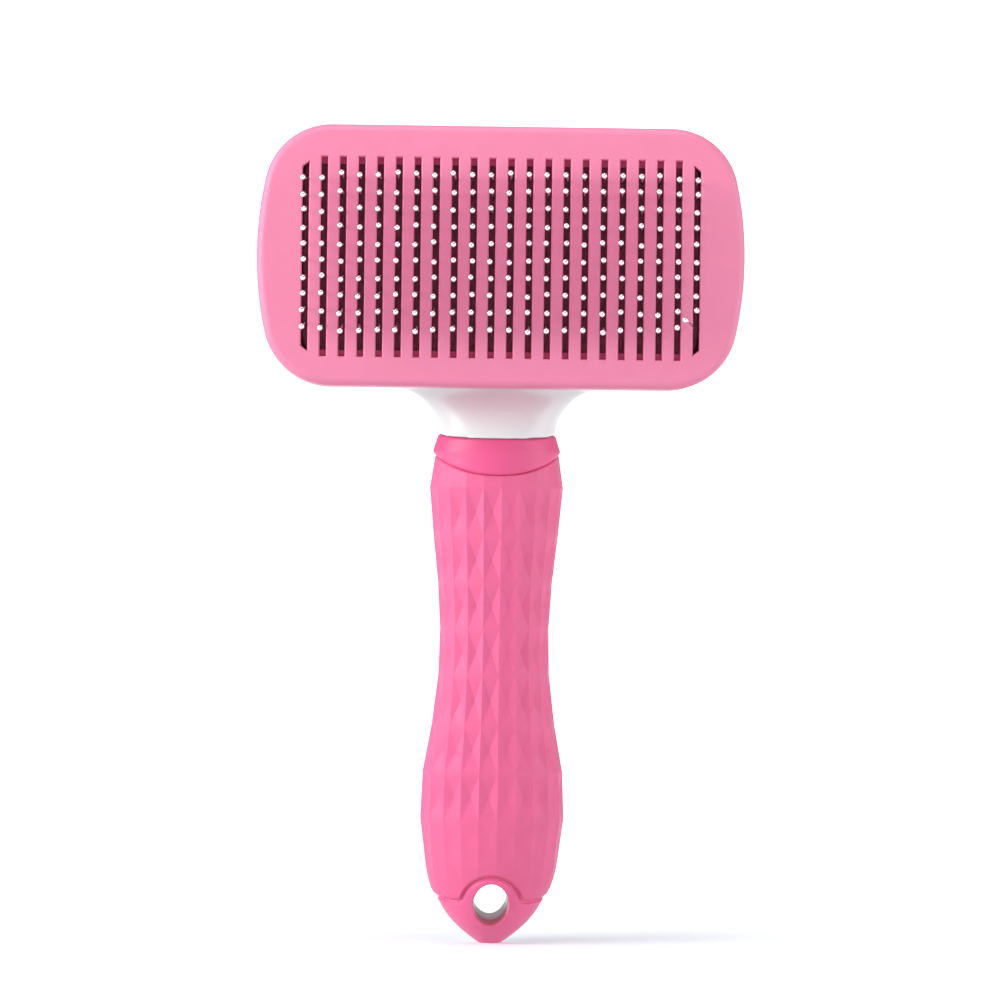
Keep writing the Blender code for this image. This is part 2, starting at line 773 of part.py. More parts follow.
def eye_rod(name, half_width, half_height=None):
    """An oval bar along the eye's axis, which stands square to the leaning handle."""
    half_height = half_height or half_width
    lean = math.atan(LEAN)
    centre = Vector((0.0, axis_y(EYE_Z), EYE_Z))
    turn = Matrix.Rotation(lean, 4, "X")
    rings = []
    for y in (-FAR, FAR):
        outline = oval(half_width, half_height, 2.0, 20)
        rings.append([centre + turn @ Vector((x, y, z)) for x, z in outline])
    return loft(name, rings)


def end_blank(name, material=None):
    """The handle's rounded end: everything below the sleeve, and the arch over the eye."""
    heights = [0.0, *section_heights(0.0, BLANK_TOP), BLANK_TOP]
    blank = loft(name, [handle_ring(z) for z in heights], material)
    keep = block(f"{name}_low", (-FAR, -FAR, -FAR), (FAR, FAR, SLEEVE_BOTTOM - CLEARANCE))
    join(keep, eye_rod(f"{name}_arch", EYE_ARCH_RADIUS))
    combine(blank, keep, "INTERSECT")
    return blank


def half_space(name, behind, gap):
    """A block that covers everything behind, or in front of, the handle's leaning middle."""
    near = gap if behind else -FAR
    far = FAR if behind else -gap
    corners = ((-FAR, near), (FAR, near), (FAR, far), (-FAR, far))
    rings = [[(x, axis_y(z) + y, z) for x, y in corners] for z in (-FAR, FAR)]
    return loft(name, rings)


def make_end_cap(material):
    cap = end_blank("end_cap", material)
    cut(cap, half_space("behind_cap", True, 0.0))
    cut(cap, eye_rod("cap_eye", EYE_HALF_WIDTH, EYE_HALF_HEIGHT))
    return cap


def make_handle_core(material):
    """The white bar inside the sleeve: a tang at its top, and the rear half of the eye below."""
    inset = SLEEVE_WALL + CLEARANCE
    top = NECK_BOTTOM - CLEARANCE
    heights = [CORE_BOTTOM, *section_heights(CORE_BOTTOM, top - 2 * OVERSHOOT)]
    rings = [handle_ring(z, inset, 20) for z in heights]
    share = 1 - inset / TOP_HALF_DEPTH
    rings.append(handle_ring(top, inset, 20, lambda angle: top_tilt(angle) * share))
    core = loft("handle_core", rings, material)
    join(core, tang_block("tang", 0.0, top - 3 * OVERSHOOT, TANG_TOP))
    front_low = half_space("front_low", False, -2 * CLEARANCE)
    clear = block("cap_space", (-FAR, -FAR, -FAR), (FAR, FAR, SLEEVE_BOTTOM))
    join(clear, eye_rod("cap_arch_space", EYE_ARCH_RADIUS + CLEARANCE))
    combine(front_low, clear, "INTERSECT")
    cut(core, front_low)
    rear = end_blank("rear_eye")
    cut(rear, half_space("front_of_rear", False, -CLEARANCE))
    join(core, rear)
    cut(core, eye_rod("core_eye", EYE_HALF_WIDTH, EYE_HALF_HEIGHT))
    for side, x in SIDES:
        place = (x * NECK_SCREW_X, NECK_SCREW_Z)
        cut(core, rod(f"tang_bore_{side}", *place, BORE_RADIUS, *TANG_BORE))
    return core


def build():
    pink = make_material("pink_plastic", (0.90, 0.24, 0.40), 0.42)
    rubber = make_material("pink_rubber", (0.85, 0.18, 0.36), 0.55)
    white = make_material("white_plastic", (0.80, 0.78, 0.79), 0.38)
    dark = make_material("maroon_rubber", (0.10, 0.015, 0.03), 0.8)
    base = make_material("grey_board", (0.35, 0.33, 0.34), 0.6)
    steel = make_material("pin_steel", (0.72, 0.72, 0.74), 0.25, 1.0)
    zinc = make_material("zinc_steel", (0.55, 0.55, 0.58), 0.35, 1.0)
    make_face_plate(pink)
    for column in range(SLOT_COUNT):
        make_pin_column(column, steel)
    make_pin_pad(dark)
    make_pin_base(base)
    make_head_shell(white)
    make_push_button(pink)
    make_push_yoke(white)
    for name, x, z in base_screw_places():
        make_screw(name, x, z, BASE_FRONT - CLEARANCE, BASE_SCREW_LENGTH, True, zinc)
    sink = SCREW_HEAD_HEIGHT + CLEARANCE
    yoke_back = YOKE_FRONT + YOKE_THICKNESS
    for kind, across, z, seat, into_back in (
        ("plate", POST_X, HEAD_Z, yoke_back - sink, False),
        ("button", BUTTON_SCREW_X, HEAD_Z, YOKE_FRONT + sink, True),
        ("neck", NECK_SCREW_X, NECK_SCREW_Z, NECK_SCREW_SEAT, False),
    ):
        for side, x in SIDES:
            name = f"{kind}_screw_{side}"
            make_screw(name, x * across, z, seat, SHORT_SCREW_LENGTH, into_back, zinc)
    for side, x in SIDES:
        make_spring(f"return_spring_{side}", x * POST_X, zinc)
    make_handle_core(white)
    make_grip_sleeve(rubber)
    make_collar_ring(rubber)
    make_end_cap(pink)


clear_scene()
PARTS = make_collection(PART_NAME)
CUTTERS = make_collection(f"{PART_NAME} cutters")
build()
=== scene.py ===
"""Looks for the self-cleaning pet brush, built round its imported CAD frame.

Lengths are metres. The brush stands on the end of its handle, +Z up, with its pins towards -Y.
"""

import math
import random

import bmesh
import bpy
import numpy as np
from mathutils import Matrix, Vector


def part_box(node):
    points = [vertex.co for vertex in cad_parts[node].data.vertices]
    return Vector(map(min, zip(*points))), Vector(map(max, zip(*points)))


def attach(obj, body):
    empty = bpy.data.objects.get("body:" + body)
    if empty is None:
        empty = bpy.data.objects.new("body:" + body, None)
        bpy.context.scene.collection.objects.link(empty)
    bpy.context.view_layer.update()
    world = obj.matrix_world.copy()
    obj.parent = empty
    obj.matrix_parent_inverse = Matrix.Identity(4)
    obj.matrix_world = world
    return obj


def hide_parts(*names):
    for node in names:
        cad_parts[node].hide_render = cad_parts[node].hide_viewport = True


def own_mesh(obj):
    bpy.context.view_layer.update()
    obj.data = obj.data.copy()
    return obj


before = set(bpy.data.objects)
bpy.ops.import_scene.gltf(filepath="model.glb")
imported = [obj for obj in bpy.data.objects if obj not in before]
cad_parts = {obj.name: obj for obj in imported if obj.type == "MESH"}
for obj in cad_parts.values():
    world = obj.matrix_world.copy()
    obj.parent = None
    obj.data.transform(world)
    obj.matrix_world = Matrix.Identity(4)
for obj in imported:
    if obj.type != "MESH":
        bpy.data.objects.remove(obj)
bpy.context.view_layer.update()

ROOT = "brush_body"
EJECTOR = "ejector"
SIDES = (("left", -1), ("right", 1))

# Head. Depths are measured backwards from the front face of the plate.
plate_low, plate_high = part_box("face_plate")
FACE_Y = plate_low.y
HEAD_Z = (plate_low.z + plate_high.z) / 2
HEAD_HALF_WIDTH = (plate_high.x - plate_low.x) / 2
HEAD_HALF_HEIGHT = (plate_high.z - plate_low.z) / 2
CLEARANCE = 0.0003
FAR = 0.04
SEAM = 0.00002
OVERSHOOT = 0.001
CORNER_RADIUS = 0.016
SIDE_RADIUS = 0.085
PLATE_THICKNESS = 0.0022
EDGE_FILLET = 0.002
SKIRT_WALL = 0.0018
SKIRT_DEPTH = 0.0132
SKIRT_CHAMFER = 0.0009
SKIRT_ROUND = 0.0003
SKIRT_CROWN = 0.0001
SLOT_COUNT = 22
SLOT_PITCH = 0.00439
SLOT_DROP = 0.00045
SLOT_WIDTH = 0.0015
SLOT_LENGTH = 0.0469
END_SLOT_LENGTH = 0.0446
END_SLOT_CHAMFER = 0.0013
SLOT_RIM = 0.00042
SLOT_FLARE = 0.0006
RIB_INNER = 0.0219
RIB_OUTER = 0.0243
RIB_HALF_WIDTH = 0.0495
RIB_FRONT = 0.0020
RIB_BACK = 0.0027

# Pins and pad
PINS_PER_COLUMN = 10
PIN_ROOT_PITCH = 0.0038
PIN_ROOT_RISE = 0.0010
PIN_TIP_PITCH = 0.00405
EDGE_TIP_PITCH = 0.00387
EDGE_COLUMNS = 2
PIN_TIP_RISE = 0.0004
PIN_TIP_TURN = 0.0091
PIN_PROUD = 0.0105
ROOT_SHIFTS = (0.00015, -0.00025)
ROOT_WANDER = 0.0001
TIP_SHIFT = -0.0006
TIP_SPREAD = 0.9957
FIRST_TIP_DROP = 0.0005
TIP_WANDER_ACROSS = 0.00022
TIP_WANDER_UP = 0.0004
TIP_WANDER_OUT = 0.0002
BEND_ACROSS = 0.00005
BEND_UP = (-0.0002, 0.0003)
STRAY_SHIFT = (-0.0027, 0.0003, 0.0023)
WIRE_RADIUS = 0.0002
WIRE_ASIDE = 0.0004
WIRE_SIDES = 8
BALL_RADIUS = 0.00069
BALL_RINGS = 10
BALL_SIDES = 16
PAD_HALF_WIDTH = 0.04695
PAD_HALF_HEIGHT = 0.0248
PAD_FRONT = 0.003
PAD_THICKNESS = 0.0032
PAD_POWER = 12.0
PAD_STEPS = ((0.0006, 0.0), (0.0002, 0.0002), (0.0, 0.0006), (0.0, PAD_THICKNESS))
PIN_ROOT_DEPTH = 0.0038

# Posts, springs, shell and button
POST_X = 0.0506
POST_RADIUS = 0.0021
POST_START = 0.0015
POST_END = 0.0197
CUP_FLOOR = 0.0042
SPRING_RADIUS = 0.00275
SPRING_WIRE = 0.00022
SPRING_TURNS = 6.5
YOKE_FRONT = 0.020
YOKE_THICKNESS = 0.0028
BASE_BACK = 0.0085
BASE_SCREW_X = 0.050
BASE_SCREW_Z = 0.013
RIM_FRONT = 0.0032
SHELL_STEP = 0.0135
SHELL_WALL = 0.002
RIM_WALL = 0.0014
HOLLOW_STEP = 0.0018
BOSS_RADIUS = 0.0026
BOSS_END = 0.0245
BORE_RADIUS = 0.0013
BORE_END = 0.018
SHELL_ROUND_START = 0.019
SHELL_ROUND = 0.007
BUTTON_HALF_WIDTH = 0.019
BUTTON_HALF_HEIGHT = 0.0125
BUTTON_BACK = 0.038
BUTTON_WALL = 0.0016
BUTTON_GAP = 0.0004
BUTTON_ROUND = 0.0022
BUTTON_DISH = 0.0008
BUTTON_DISH_EDGE = 0.88
OPENING_DEPTHS = (0.0225, 0.028)
NECK_SCREW_X = 0.005
NECK_SCREW_Z = 0.1262
NECK_BORE_DEPTHS = (0.021, 0.036)
NECK_SINK_RADIUS = 0.0023
NECK_SINK_DEPTHS = (0.0295, 0.036)

# Handle
LEAN = math.tan(math.radians(6.0))
AXIS_TOP_Z = 0.124
AXIS_TOP_DEPTH = 0.022
NECK_BOTTOM = 0.1231
TOP_HALF_DEPTH = 0.012
COLLAR_SIDE_Z = 0.1184
COLLAR_DIP = 0.0052
COLLAR_STEPS = 9
COLLAR_TOP_ROUND = ((0.0, 0.0006), (0.00008, 0.00035), (0.0002, 0.00016), (0.0004, 0.00004), (0.0006, 0.0))
COLLAR_FOOT_ROUND = ((0.0008, 0.0), (0.0005, 0.00006), (0.0002, 0.00022), (0.0, 0.0006))
FACET_COLUMNS = 21
FACET_ROWS = (0.1103, 0.0989, 0.0875, 0.0765, 0.0655, 0.0532, 0.0418, 0.0303, 0.0188)
SLEEVE_LIP = 0.0005
SLEEVE_TOP_ROUND = ((0.0005, 0.0008), (0.0004, 0.0004), (0.0002, 0.0001))
FACET_DEPTH = 0.00072
LAST_FACET_DEPTH = 0.00015
FACET_STEPS = 8
FACET_FADE = 0.006
FACET_EDGE_INSET = 0.0002
FACET_CREASE_ANGLE = 19
UPRIGHT_ANGLE = math.radians(8)
UPRIGHT_SHARE = 0.97
FOOT_HEIGHTS = (0.0188, 0.0178, 0.0168, 0.0157, 0.0145, 0.0133, 0.0119, 0.0104, 0.0089, 0.0074)
GROOVE_HALF = 0.0007
GROOVE_DEPTH = 0.0007
END_HEIGHTS = tuple(np.linspace(0.0015, 0.024, 24))
CORE_BOTTOM = 0.0095
SLEEVE_WALL = 0.0028
EYE_Z = 0.0109
EYE_HALF_WIDTH = 0.0043
EYE_HALF_HEIGHT = 0.0054
EYE_ARCH_RADIUS = 0.0071
EYE_LINE_RISE = 0.0007
EYE_LINE_FILLET = 0.0016
TANG_HALF_WIDTH = 0.009
TANG_HALF_DEPTH = 0.005
TANG_DEPTH = 0.021
TANG_TOP = 0.1295
HANDLE_SECTIONS = (
    # height, half width, half depth
    (0.0, 0.0027, 0.0024),
    (0.0015, 0.0048, 0.0046),
    (0.0045, 0.0083, 0.0076),
    (0.0074, 0.0108, 0.0094),
    (0.0104, 0.0126, 0.0106),
    (0.0133, 0.0144, 0.0113),
    (0.0188, 0.0160, 0.0120),
    (0.0303, 0.0175, 0.0124),
    (0.0418, 0.0170, 0.0125),
    (0.0532, 0.0149, 0.0126),
    (0.0655, 0.0134, 0.0127),
    (0.0765, 0.01313, 0.0128),
    (0.0875, 0.0138, 0.0129),
    (0.0989, 0.01505, 0.0130),
    (0.1103, 0.0161, 0.0130),
    (0.1170, 0.0151, 0.0128),
    (0.1190, 0.0153, 0.0127),
    (0.1231, 0.0140, TOP_HALF_DEPTH),
)
NECK_SECTIONS = (
    # height, half width, front, back
    (NECK_BOTTOM, 0.0140, 0.0100, 0.0340),
    (0.1248, 0.0141, 0.0104, 0.0323),
    (0.1266, 0.0146, 0.0110, 0.0308),
    (0.1285, 0.0156, 0.0117, 0.0294),
    (0.1300, 0.0168, 0.0124, 0.0282),
    (0.1314, 0.0180, 0.0130, 0.0272),
    (0.1324, 0.0194, 0.0134, 0.0266),
    (0.1333, 0.0212, 0.0136, 0.0262),
    (0.1340, 0.0236, 0.0138, 0.0259),
    (0.1345, 0.0262, 0.0139, 0.0257),
    (0.1380, 0.0290, 0.0144, 0.0248),
)


# Materials


def node(tree, kind, **values):
    """A shader node with its sockets set by name."""
    made = tree.nodes.new(kind)
    for key, value in values.items():
        made.inputs[key.replace("_", " ")].default_value = value
    return made


def noise(tree, coordinates, scale, detail=3.0, stretch=(1.0, 1.0, 1.0)):
    """A noise texture in object space. scale is in cells for each metre."""
    texture = node(tree, "ShaderNodeTexNoise", Scale=1.0, Detail=detail, Roughness=0.55)
    mapping = tree.nodes.new("ShaderNodeMapping")
    mapping.inputs["Scale"].default_value = [scale * s for s in stretch]
    tree.links.new(coordinates.outputs["Object"], mapping.inputs["Vector"])
    tree.links.new(mapping.outputs["Vector"], texture.inputs["Vector"])
    return texture.outputs["Fac"]


def spread(tree, source, low, high):
    """Maps the middle of a noise onto the range from low to high."""
    ramp = tree.nodes.new("ShaderNodeMapRange")
    ramp.inputs["From Min"].default_value = 0.3
    ramp.inputs["From Max"].default_value = 0.7
    ramp.inputs["To Min"].default_value = low
    ramp.inputs["To Max"].default_value = high
    tree.links.new(source, ramp.inputs["Value"])
    return ramp.outputs["Result"]


def blend_colors(tree, factor, first, second):
    """A colour from first to second as factor goes from 0 to 1. Either may be a socket."""
    mix = tree.nodes.new("ShaderNodeMix")
    mix.data_type = "RGBA"
    tree.links.new(factor, mix.inputs[0])
    for socket, color in ((mix.inputs[6], first), (mix.inputs[7], second)):
        if isinstance(color, tuple):
            socket.default_value = (*color, 1.0)
        else:
            tree.links.new(color, socket)
    return mix.outputs[2]


def surface(
    name,
    color,
    shade=0.93,
    roughness=(0.36, 0.46),
    grain=2600.0,
    bump=0.00002,
    stretch=(1.0, 1.0, 1.0),
    coarse=180.0,
    specular=0.5,
    metallic=0.0,
    coat=0.0,
    sheen=0.0,
):
    """A moulded surface: drifting colour, uneven gloss and a fine pressed-in grain."""
    made = bpy.data.materials.new(name)
    made.use_nodes = True
    tree = made.node_tree
    shader = tree.nodes["Principled BSDF"]
    shader.inputs["Specular IOR Level"].default_value = specular
    shader.inputs["Metallic"].default_value = metallic
    shader.inputs["Coat Weight"].default_value = coat
    shader.inputs["Coat Roughness"].default_value = 0.18
    shader.inputs["Sheen Weight"].default_value = sheen
    coordinates = tree.nodes.new("ShaderNodeTexCoord")
    drift = spread(tree, noise(tree, coordinates, coarse, 2.0, stretch), 0.0, 1.0)
    dull = tuple(channel * shade for channel in color)
    tree.links.new(blend_colors(tree, drift, color, dull), shader.inputs["Base Color"])
    uneven = spread(tree, noise(tree, coordinates, coarse * 5, 3.0, stretch), *roughness)
    tree.links.new(uneven, shader.inputs["Roughness"])
    relief = node(tree, "ShaderNodeBump", Strength=1.0, Distance=bump)
    tree.links.new(noise(tree, coordinates, grain, 4.0, stretch), relief.inputs["Height"])
    tree.links.new(relief.outputs["Normal"], shader.inputs["Normal"])
    return made


def plate_surface(color, painted_field_shade):
    """The plate's plastic, with painted shade: a deeper colour over the field of slots, where the pins
    shade it.
    """
    made = surface("pink_plate", color, 0.97, (0.44, 0.54), 2400.0, 0.000012)
    tree = made.node_tree
    shader = tree.nodes["Principled BSDF"]
    plain = shader.inputs["Base Color"].links[0].from_socket
    coordinates = tree.nodes.new("ShaderNodeTexCoord")
    split = tree.nodes.new("ShaderNodeSeparateXYZ")
    tree.links.new(coordinates.outputs["Object"], split.inputs["Vector"])
    field_shade_masks = []
    for axis, centre, inner, outer in (("X", 0.0, 0.036, 0.049), ("Z", HEAD_Z, 0.014, 0.0245)):
        offset = tree.nodes.new("ShaderNodeMath")
        offset.operation = "SUBTRACT"
        offset.inputs[1].default_value = centre
        tree.links.new(split.outputs[axis], offset.inputs[0])
        size = tree.nodes.new("ShaderNodeMath")
        size.operation = "ABSOLUTE"
        tree.links.new(offset.outputs[0], size.inputs[0])
        fade = tree.nodes.new("ShaderNodeMapRange")
        fade.interpolation_type = "SMOOTHSTEP"
        fade.inputs["From Min"].default_value = inner
        fade.inputs["From Max"].default_value = outer
        fade.inputs["To Min"].default_value = 1.0
        fade.inputs["To Max"].default_value = 0.0
        tree.links.new(size.outputs[0], fade.inputs["Value"])
        field_shade_masks.append(fade.outputs["Result"])
    # Painted shade: this mask darkens the plate's pink over the field of slots.
    both = tree.nodes.new("ShaderNodeMath")
    both.operation = "MULTIPLY"
    tree.links.new(field_shade_masks[0], both.inputs[0])
    tree.links.new(field_shade_masks[1], both.inputs[1])
    tree.links.new(blend_colors(tree, both.outputs[0], plain, painted_field_shade), shader.inputs["Base Color"])
    return made


# The second colour is painted shade over the field of slots.
PLATE = plate_surface((0.87, 0.24, 0.405), (0.78, 0.18, 0.335))
# Painted shade: a darker copy of the plate's pink for the rib faces seen deep in the slots.
SHADED_LEDGE = surface("pink_ledge_painted_shade", (0.50, 0.06, 0.18), 0.94, (0.45, 0.55), 2400.0, 0.000012)
# Painted highlight: a lighter, glossier copy of the plate's pink for the bevelled slot rims.
HIGHLIT_LIP = surface("pink_lip_painted_highlight", (0.95, 0.60, 0.72), 0.97, (0.28, 0.36), 2400.0, 0.000012, coat=0.3)
CAP = surface("pink_cap", (0.88, 0.125, 0.31), 0.95, (0.38, 0.48), coat=0.05)
BUTTON = surface("pink_button", (0.86, 0.225, 0.39), 0.96, (0.34, 0.44), coat=0.1)
COLLAR = surface("pink_collar", (0.85, 0.095, 0.275), 0.95, (0.42, 0.52), 2200.0, 0.00003)
GRIP = surface("pink_rubber", (0.85, 0.125, 0.30), 0.94, (0.48, 0.6), 2200.0, 0.00004, sheen=0.08)
WHITE = surface("white_plastic", (0.85, 0.87, 0.87), 0.98, (0.3, 0.4), 2600.0, 0.00001, coat=0.1)
PAD = surface(
    "maroon_rubber",
    (0.055, 0.010, 0.020),
    5.0,
    (0.55, 0.75),
    1500.0,
    0.00008,
    stretch=(4.0, 1.0, 0.6),
    coarse=900.0,
)
WIRE = surface("wire_steel", (0.78, 0.77, 0.79), 0.9, (0.2, 0.34), 6000.0, 0.000004, metallic=1.0)
TIP = surface("white_tip", (0.97, 0.94, 0.955), 0.98, (0.22, 0.32), 4000.0, 0.000004, coat=0.3)
DOT = surface("tip_centre", (0.66, 0.55, 0.59), 0.85, (0.4, 0.5), 4000.0, 0.000004)
BOARD = surface("grey_board", (0.30, 0.28, 0.29), 0.9, (0.5, 0.65), 1800.0, 0.00003)
ZINC = surface(
    "zinc_steel", (0.62, 0.62, 0.65), 0.85, (0.25, 0.42), 3000.0, 0.00001, metallic=1.0
)


# Meshes and pieces


def mesh_from(name, shape):
    bmesh.ops.recalc_face_normals(shape, faces=shape.faces)
    mesh = bpy.data.meshes.new(name)
    shape.to_mesh(mesh)
    shape.free()
    return mesh


def place(name, mesh):
    made = bpy.data.objects.new(name, mesh)
    bpy.context.scene.collection.objects.link(made)
    return made


def loft(name, rings):
    """A closed solid through rings of points, capped at both ends."""
    shape = bmesh.new()
    loops = [[shape.verts.new(point) for point in ring] for ring in rings]
    for lower, upper in zip(loops, loops[1:]):
        count = len(lower)
        for i in range(count):
            j = (i + 1) % count
            shape.faces.new((lower[i], lower[j], upper[j], upper[i]))
    shape.faces.new(reversed(loops[0]))
    shape.faces.new(loops[-1])
    return place(name, mesh_from(name, shape))


def sleeve(name, rings, crease=None):
    """A tube with a wall, through rings that run down its outside and back up its inside.

    crease says for a ring and a point whether the quad below folds down to the right (1), down
    to the left (-1) or not at all (0).
    """
    shape = bmesh.new()
    loops = [[shape.verts.new(point) for point in ring] for ring in rings]
    for k, (this, after) in enumerate(zip(loops, loops[1:] + loops[:1])):
        count = len(this)
        for i in range(count):
            j = (i + 1) % count
            fold = crease(k, i) if crease else 0
            if fold == 1:
                shape.faces.new((this[i], this[j], after[j]))
                shape.faces.new((this[i], after[j], after[i]))
            elif fold == -1:
                shape.faces.new((this[i], this[j], after[i]))
                shape.faces.new((this[j], after[j], after[i]))
            else:
                shape.faces.new((this[i], this[j], after[j], after[i]))
    return place(name, mesh_from(name, shape))


def bake(made):
    """Replaces an object's mesh with what its modifiers make of it."""
    graph = bpy.context.evaluated_depsgraph_get()
    mesh = bpy.data.meshes.new_from_object(made.evaluated_get(graph))
    made.modifiers.clear()
    made.data = mesh
    return made


def combine(made, operation, *tools):
    """Cuts tools from an object, or joins them to it, and removes the tools."""
    for tool in tools:
        change = made.modifiers.new("combine", "BOOLEAN")
        change.operation = operation
        change.solver = "EXACT"
        change.object = tool
    bake(made)
    for tool in tools:
        bpy.data.objects.remove(tool, do_unlink=True)
    return made


def cut(made, *tools):
    return combine(made, "DIFFERENCE", *tools)


def join(made, *tools):
    return combine(made, "UNION", *tools)


def soften(made, voxel, passes):
    """Rounds every edge of a moulding: an even mesh of small faces, then relaxed."""
    remesh = made.modifiers.new("remesh", "REMESH")
    remesh.mode = "VOXEL"
    remesh.voxel_size = voxel
    relax = made.modifiers.new("relax", "SMOOTH")
    relax.factor = 0.5
    relax.iterations = passes
    return bake(made)


def shade(made, angle=None):
    """Smooth shading, with edges sharper than the angle in degrees kept crisp."""
    mesh = made.data
    mesh.polygons.foreach_set("use_smooth", [True] * len(mesh.polygons))
    if angle:
        mesh.set_sharp_from_angle(angle=math.radians(angle))
        weighted = made.modifiers.new("weighted", "WEIGHTED_NORMAL")
        weighted.keep_sharp = True
        weighted.weight = 100
    return made


def keep_uprights_crisp(made):
    """Marks edges that run nearly straight up as sharp, from a smaller angle than the others."""
    shape = bmesh.new()
    shape.from_mesh(made.data)
    for edge in shape.edges:
        way = edge.verts[1].co - edge.verts[0].co
        upright = abs(way.z) > UPRIGHT_SHARE * way.length
        if upright and edge.is_manifold and edge.calc_face_angle() > UPRIGHT_ANGLE:
            edge.smooth = False
    shape.to_mesh(made.data)
    shape.free()


def dress(made, materials):
    """Gives a mesh its materials. A mesh that has them keeps the faces that use them."""
    if list(made.data.materials) != materials:
        made.data.materials.clear()
        for material in materials:
            made.data.materials.append(material)
    return made


def settle(made, body, slot, materials, *nodes):
    """Gives a piece its materials and its CAD body, and hides the CAD nodes that it replaces. The slot is
    not used.
    """
    dress(made, materials)
    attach(made, body)
    if nodes:
        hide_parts(*nodes)
    return made


def at_depth(outline, depth):
    return [(x, FACE_Y + depth, HEAD_Z + z) for x, z in outline]


def prism(name, outline, front, back):
    return loft(name, [at_depth(outline, front), at_depth(outline, back)])


def rod(name, x, z, radius, front, back, sides=32):
    outline = oval(radius, radius, 2.0, sides)
    rings = [[(x + a, FACE_Y + depth, z + b) for a, b in outline] for depth in (front, back)]
    return loft(name, rings)


def oval(half_width, half_height, power=2.5, count=96):
    """Points (x, z) round a superellipse."""
    points = []
    for i in range(count):
        angle = 2 * math.pi * i / count
        across = math.cos(angle)
        up = math.sin(angle)
        x = math.copysign(abs(across) ** (2 / power), across)
        z = math.copysign(abs(up) ** (2 / power), up)
        points.append((half_width * x, half_height * z))
    return points


def head_outline(inset=0.0, corner_steps=18, side_steps=12):
    """Points (x, z) round the head: straight top and bottom, round corners and bowed sides."""
    side_x = HEAD_HALF_WIDTH - SIDE_RADIUS
    corner_z = HEAD_HALF_HEIGHT - CORNER_RADIUS
    reach = SIDE_RADIUS - CORNER_RADIUS
    corner_x = side_x + math.sqrt(reach**2 - corner_z**2)
    meet = math.asin(corner_z / reach)
    right = []
    for i in range(corner_steps):
        angle = -math.pi / 2 + (math.pi / 2 - meet) * i / corner_steps
        radius = CORNER_RADIUS - inset
        right.append((corner_x + radius * math.cos(angle), -corner_z + radius * math.sin(angle)))
    for i in range(side_steps + 1):
        angle = meet * (2 * i / side_steps - 1)
        radius = SIDE_RADIUS - inset
        right.append((side_x + radius * math.cos(angle), radius * math.sin(angle)))
    right += [(x, -z) for x, z in reversed(right[:corner_steps])]
    return right + [(-x, -z) for x, z in right]


def head_rings(steps):
    return [at_depth(head_outline(inset), depth) for inset, depth in steps]


def rounded(inset, depth, radius, steps=8):
    """(inset, depth) pairs of a quarter round that turns from a wall into a back face."""
    pairs = []
    for i in range(1, steps + 1):
        angle = math.pi / 2 * i / steps
        pairs.append((inset + radius * (1 - math.cos(angle)), depth + radius * math.sin(angle)))
    return pairs


# Head


def column_x(column):
    return SLOT_PITCH * (column - (SLOT_COUNT - 1) / 2)


def slot_outline(column, grow):
    """Points (x, z) round one slot. The outermost two have their outer corners cut off."""
    x = column_x(column)
    half = SLOT_WIDTH / 2 + grow
    end = SLOT_LENGTH / 2 + grow
    lower = [(-half, -end), (half, -end)]
    if column in (0, SLOT_COUNT - 1):
        outer = math.copysign(1, x)
        end = END_SLOT_LENGTH / 2 + grow
        lower = [(-half * outer, -end), (half * outer, -end + END_SLOT_CHAMFER)]
        if outer < 0:
            lower.reverse()
    outline = lower + [(across, -up) for across, up in reversed(lower)]
    return [(x + across, up - SLOT_DROP) for across, up in outline]


def all_slots():
    """Every slot as one cutter, flared at the front so that it leaves a bevelled rim."""
    shape = bmesh.new()
    for column in range(SLOT_COUNT):
        loops = []
        for grow, depth in (
            (SLOT_RIM + SLOT_FLARE, -SLOT_FLARE),
            (SLOT_RIM * 0.35, SLOT_RIM * 0.35),
            (0.0, SLOT_RIM * 1.2),
            (0.0, PLATE_THICKNESS + OVERSHOOT),
        ):
            ring = at_depth(slot_outline(column, grow), depth)
            loops.append([shape.verts.new(point) for point in ring])
        for k, (lower, upper) in enumerate(zip(loops, loops[1:])):
            for i in range(4):
                j = (i + 1) % 4
                face = shape.faces.new((lower[i], lower[j], upper[j], upper[i]))
                # The rim faces take the third material, the painted highlight.
                face.material_index = 2 if k < 2 else 0
        shape.faces.new(reversed(loops[0]))
        shape.faces.new(loops[-1])
    return place("slots", mesh_from("slots", shape))


def box(name, low, high):
    corners = [(low[0], low[1]), (high[0], low[1]), (high[0], high[1]), (low[0], high[1])]
    return loft(name, [[(x, y, z) for x, y in corners] for z in (low[2], high[2])])


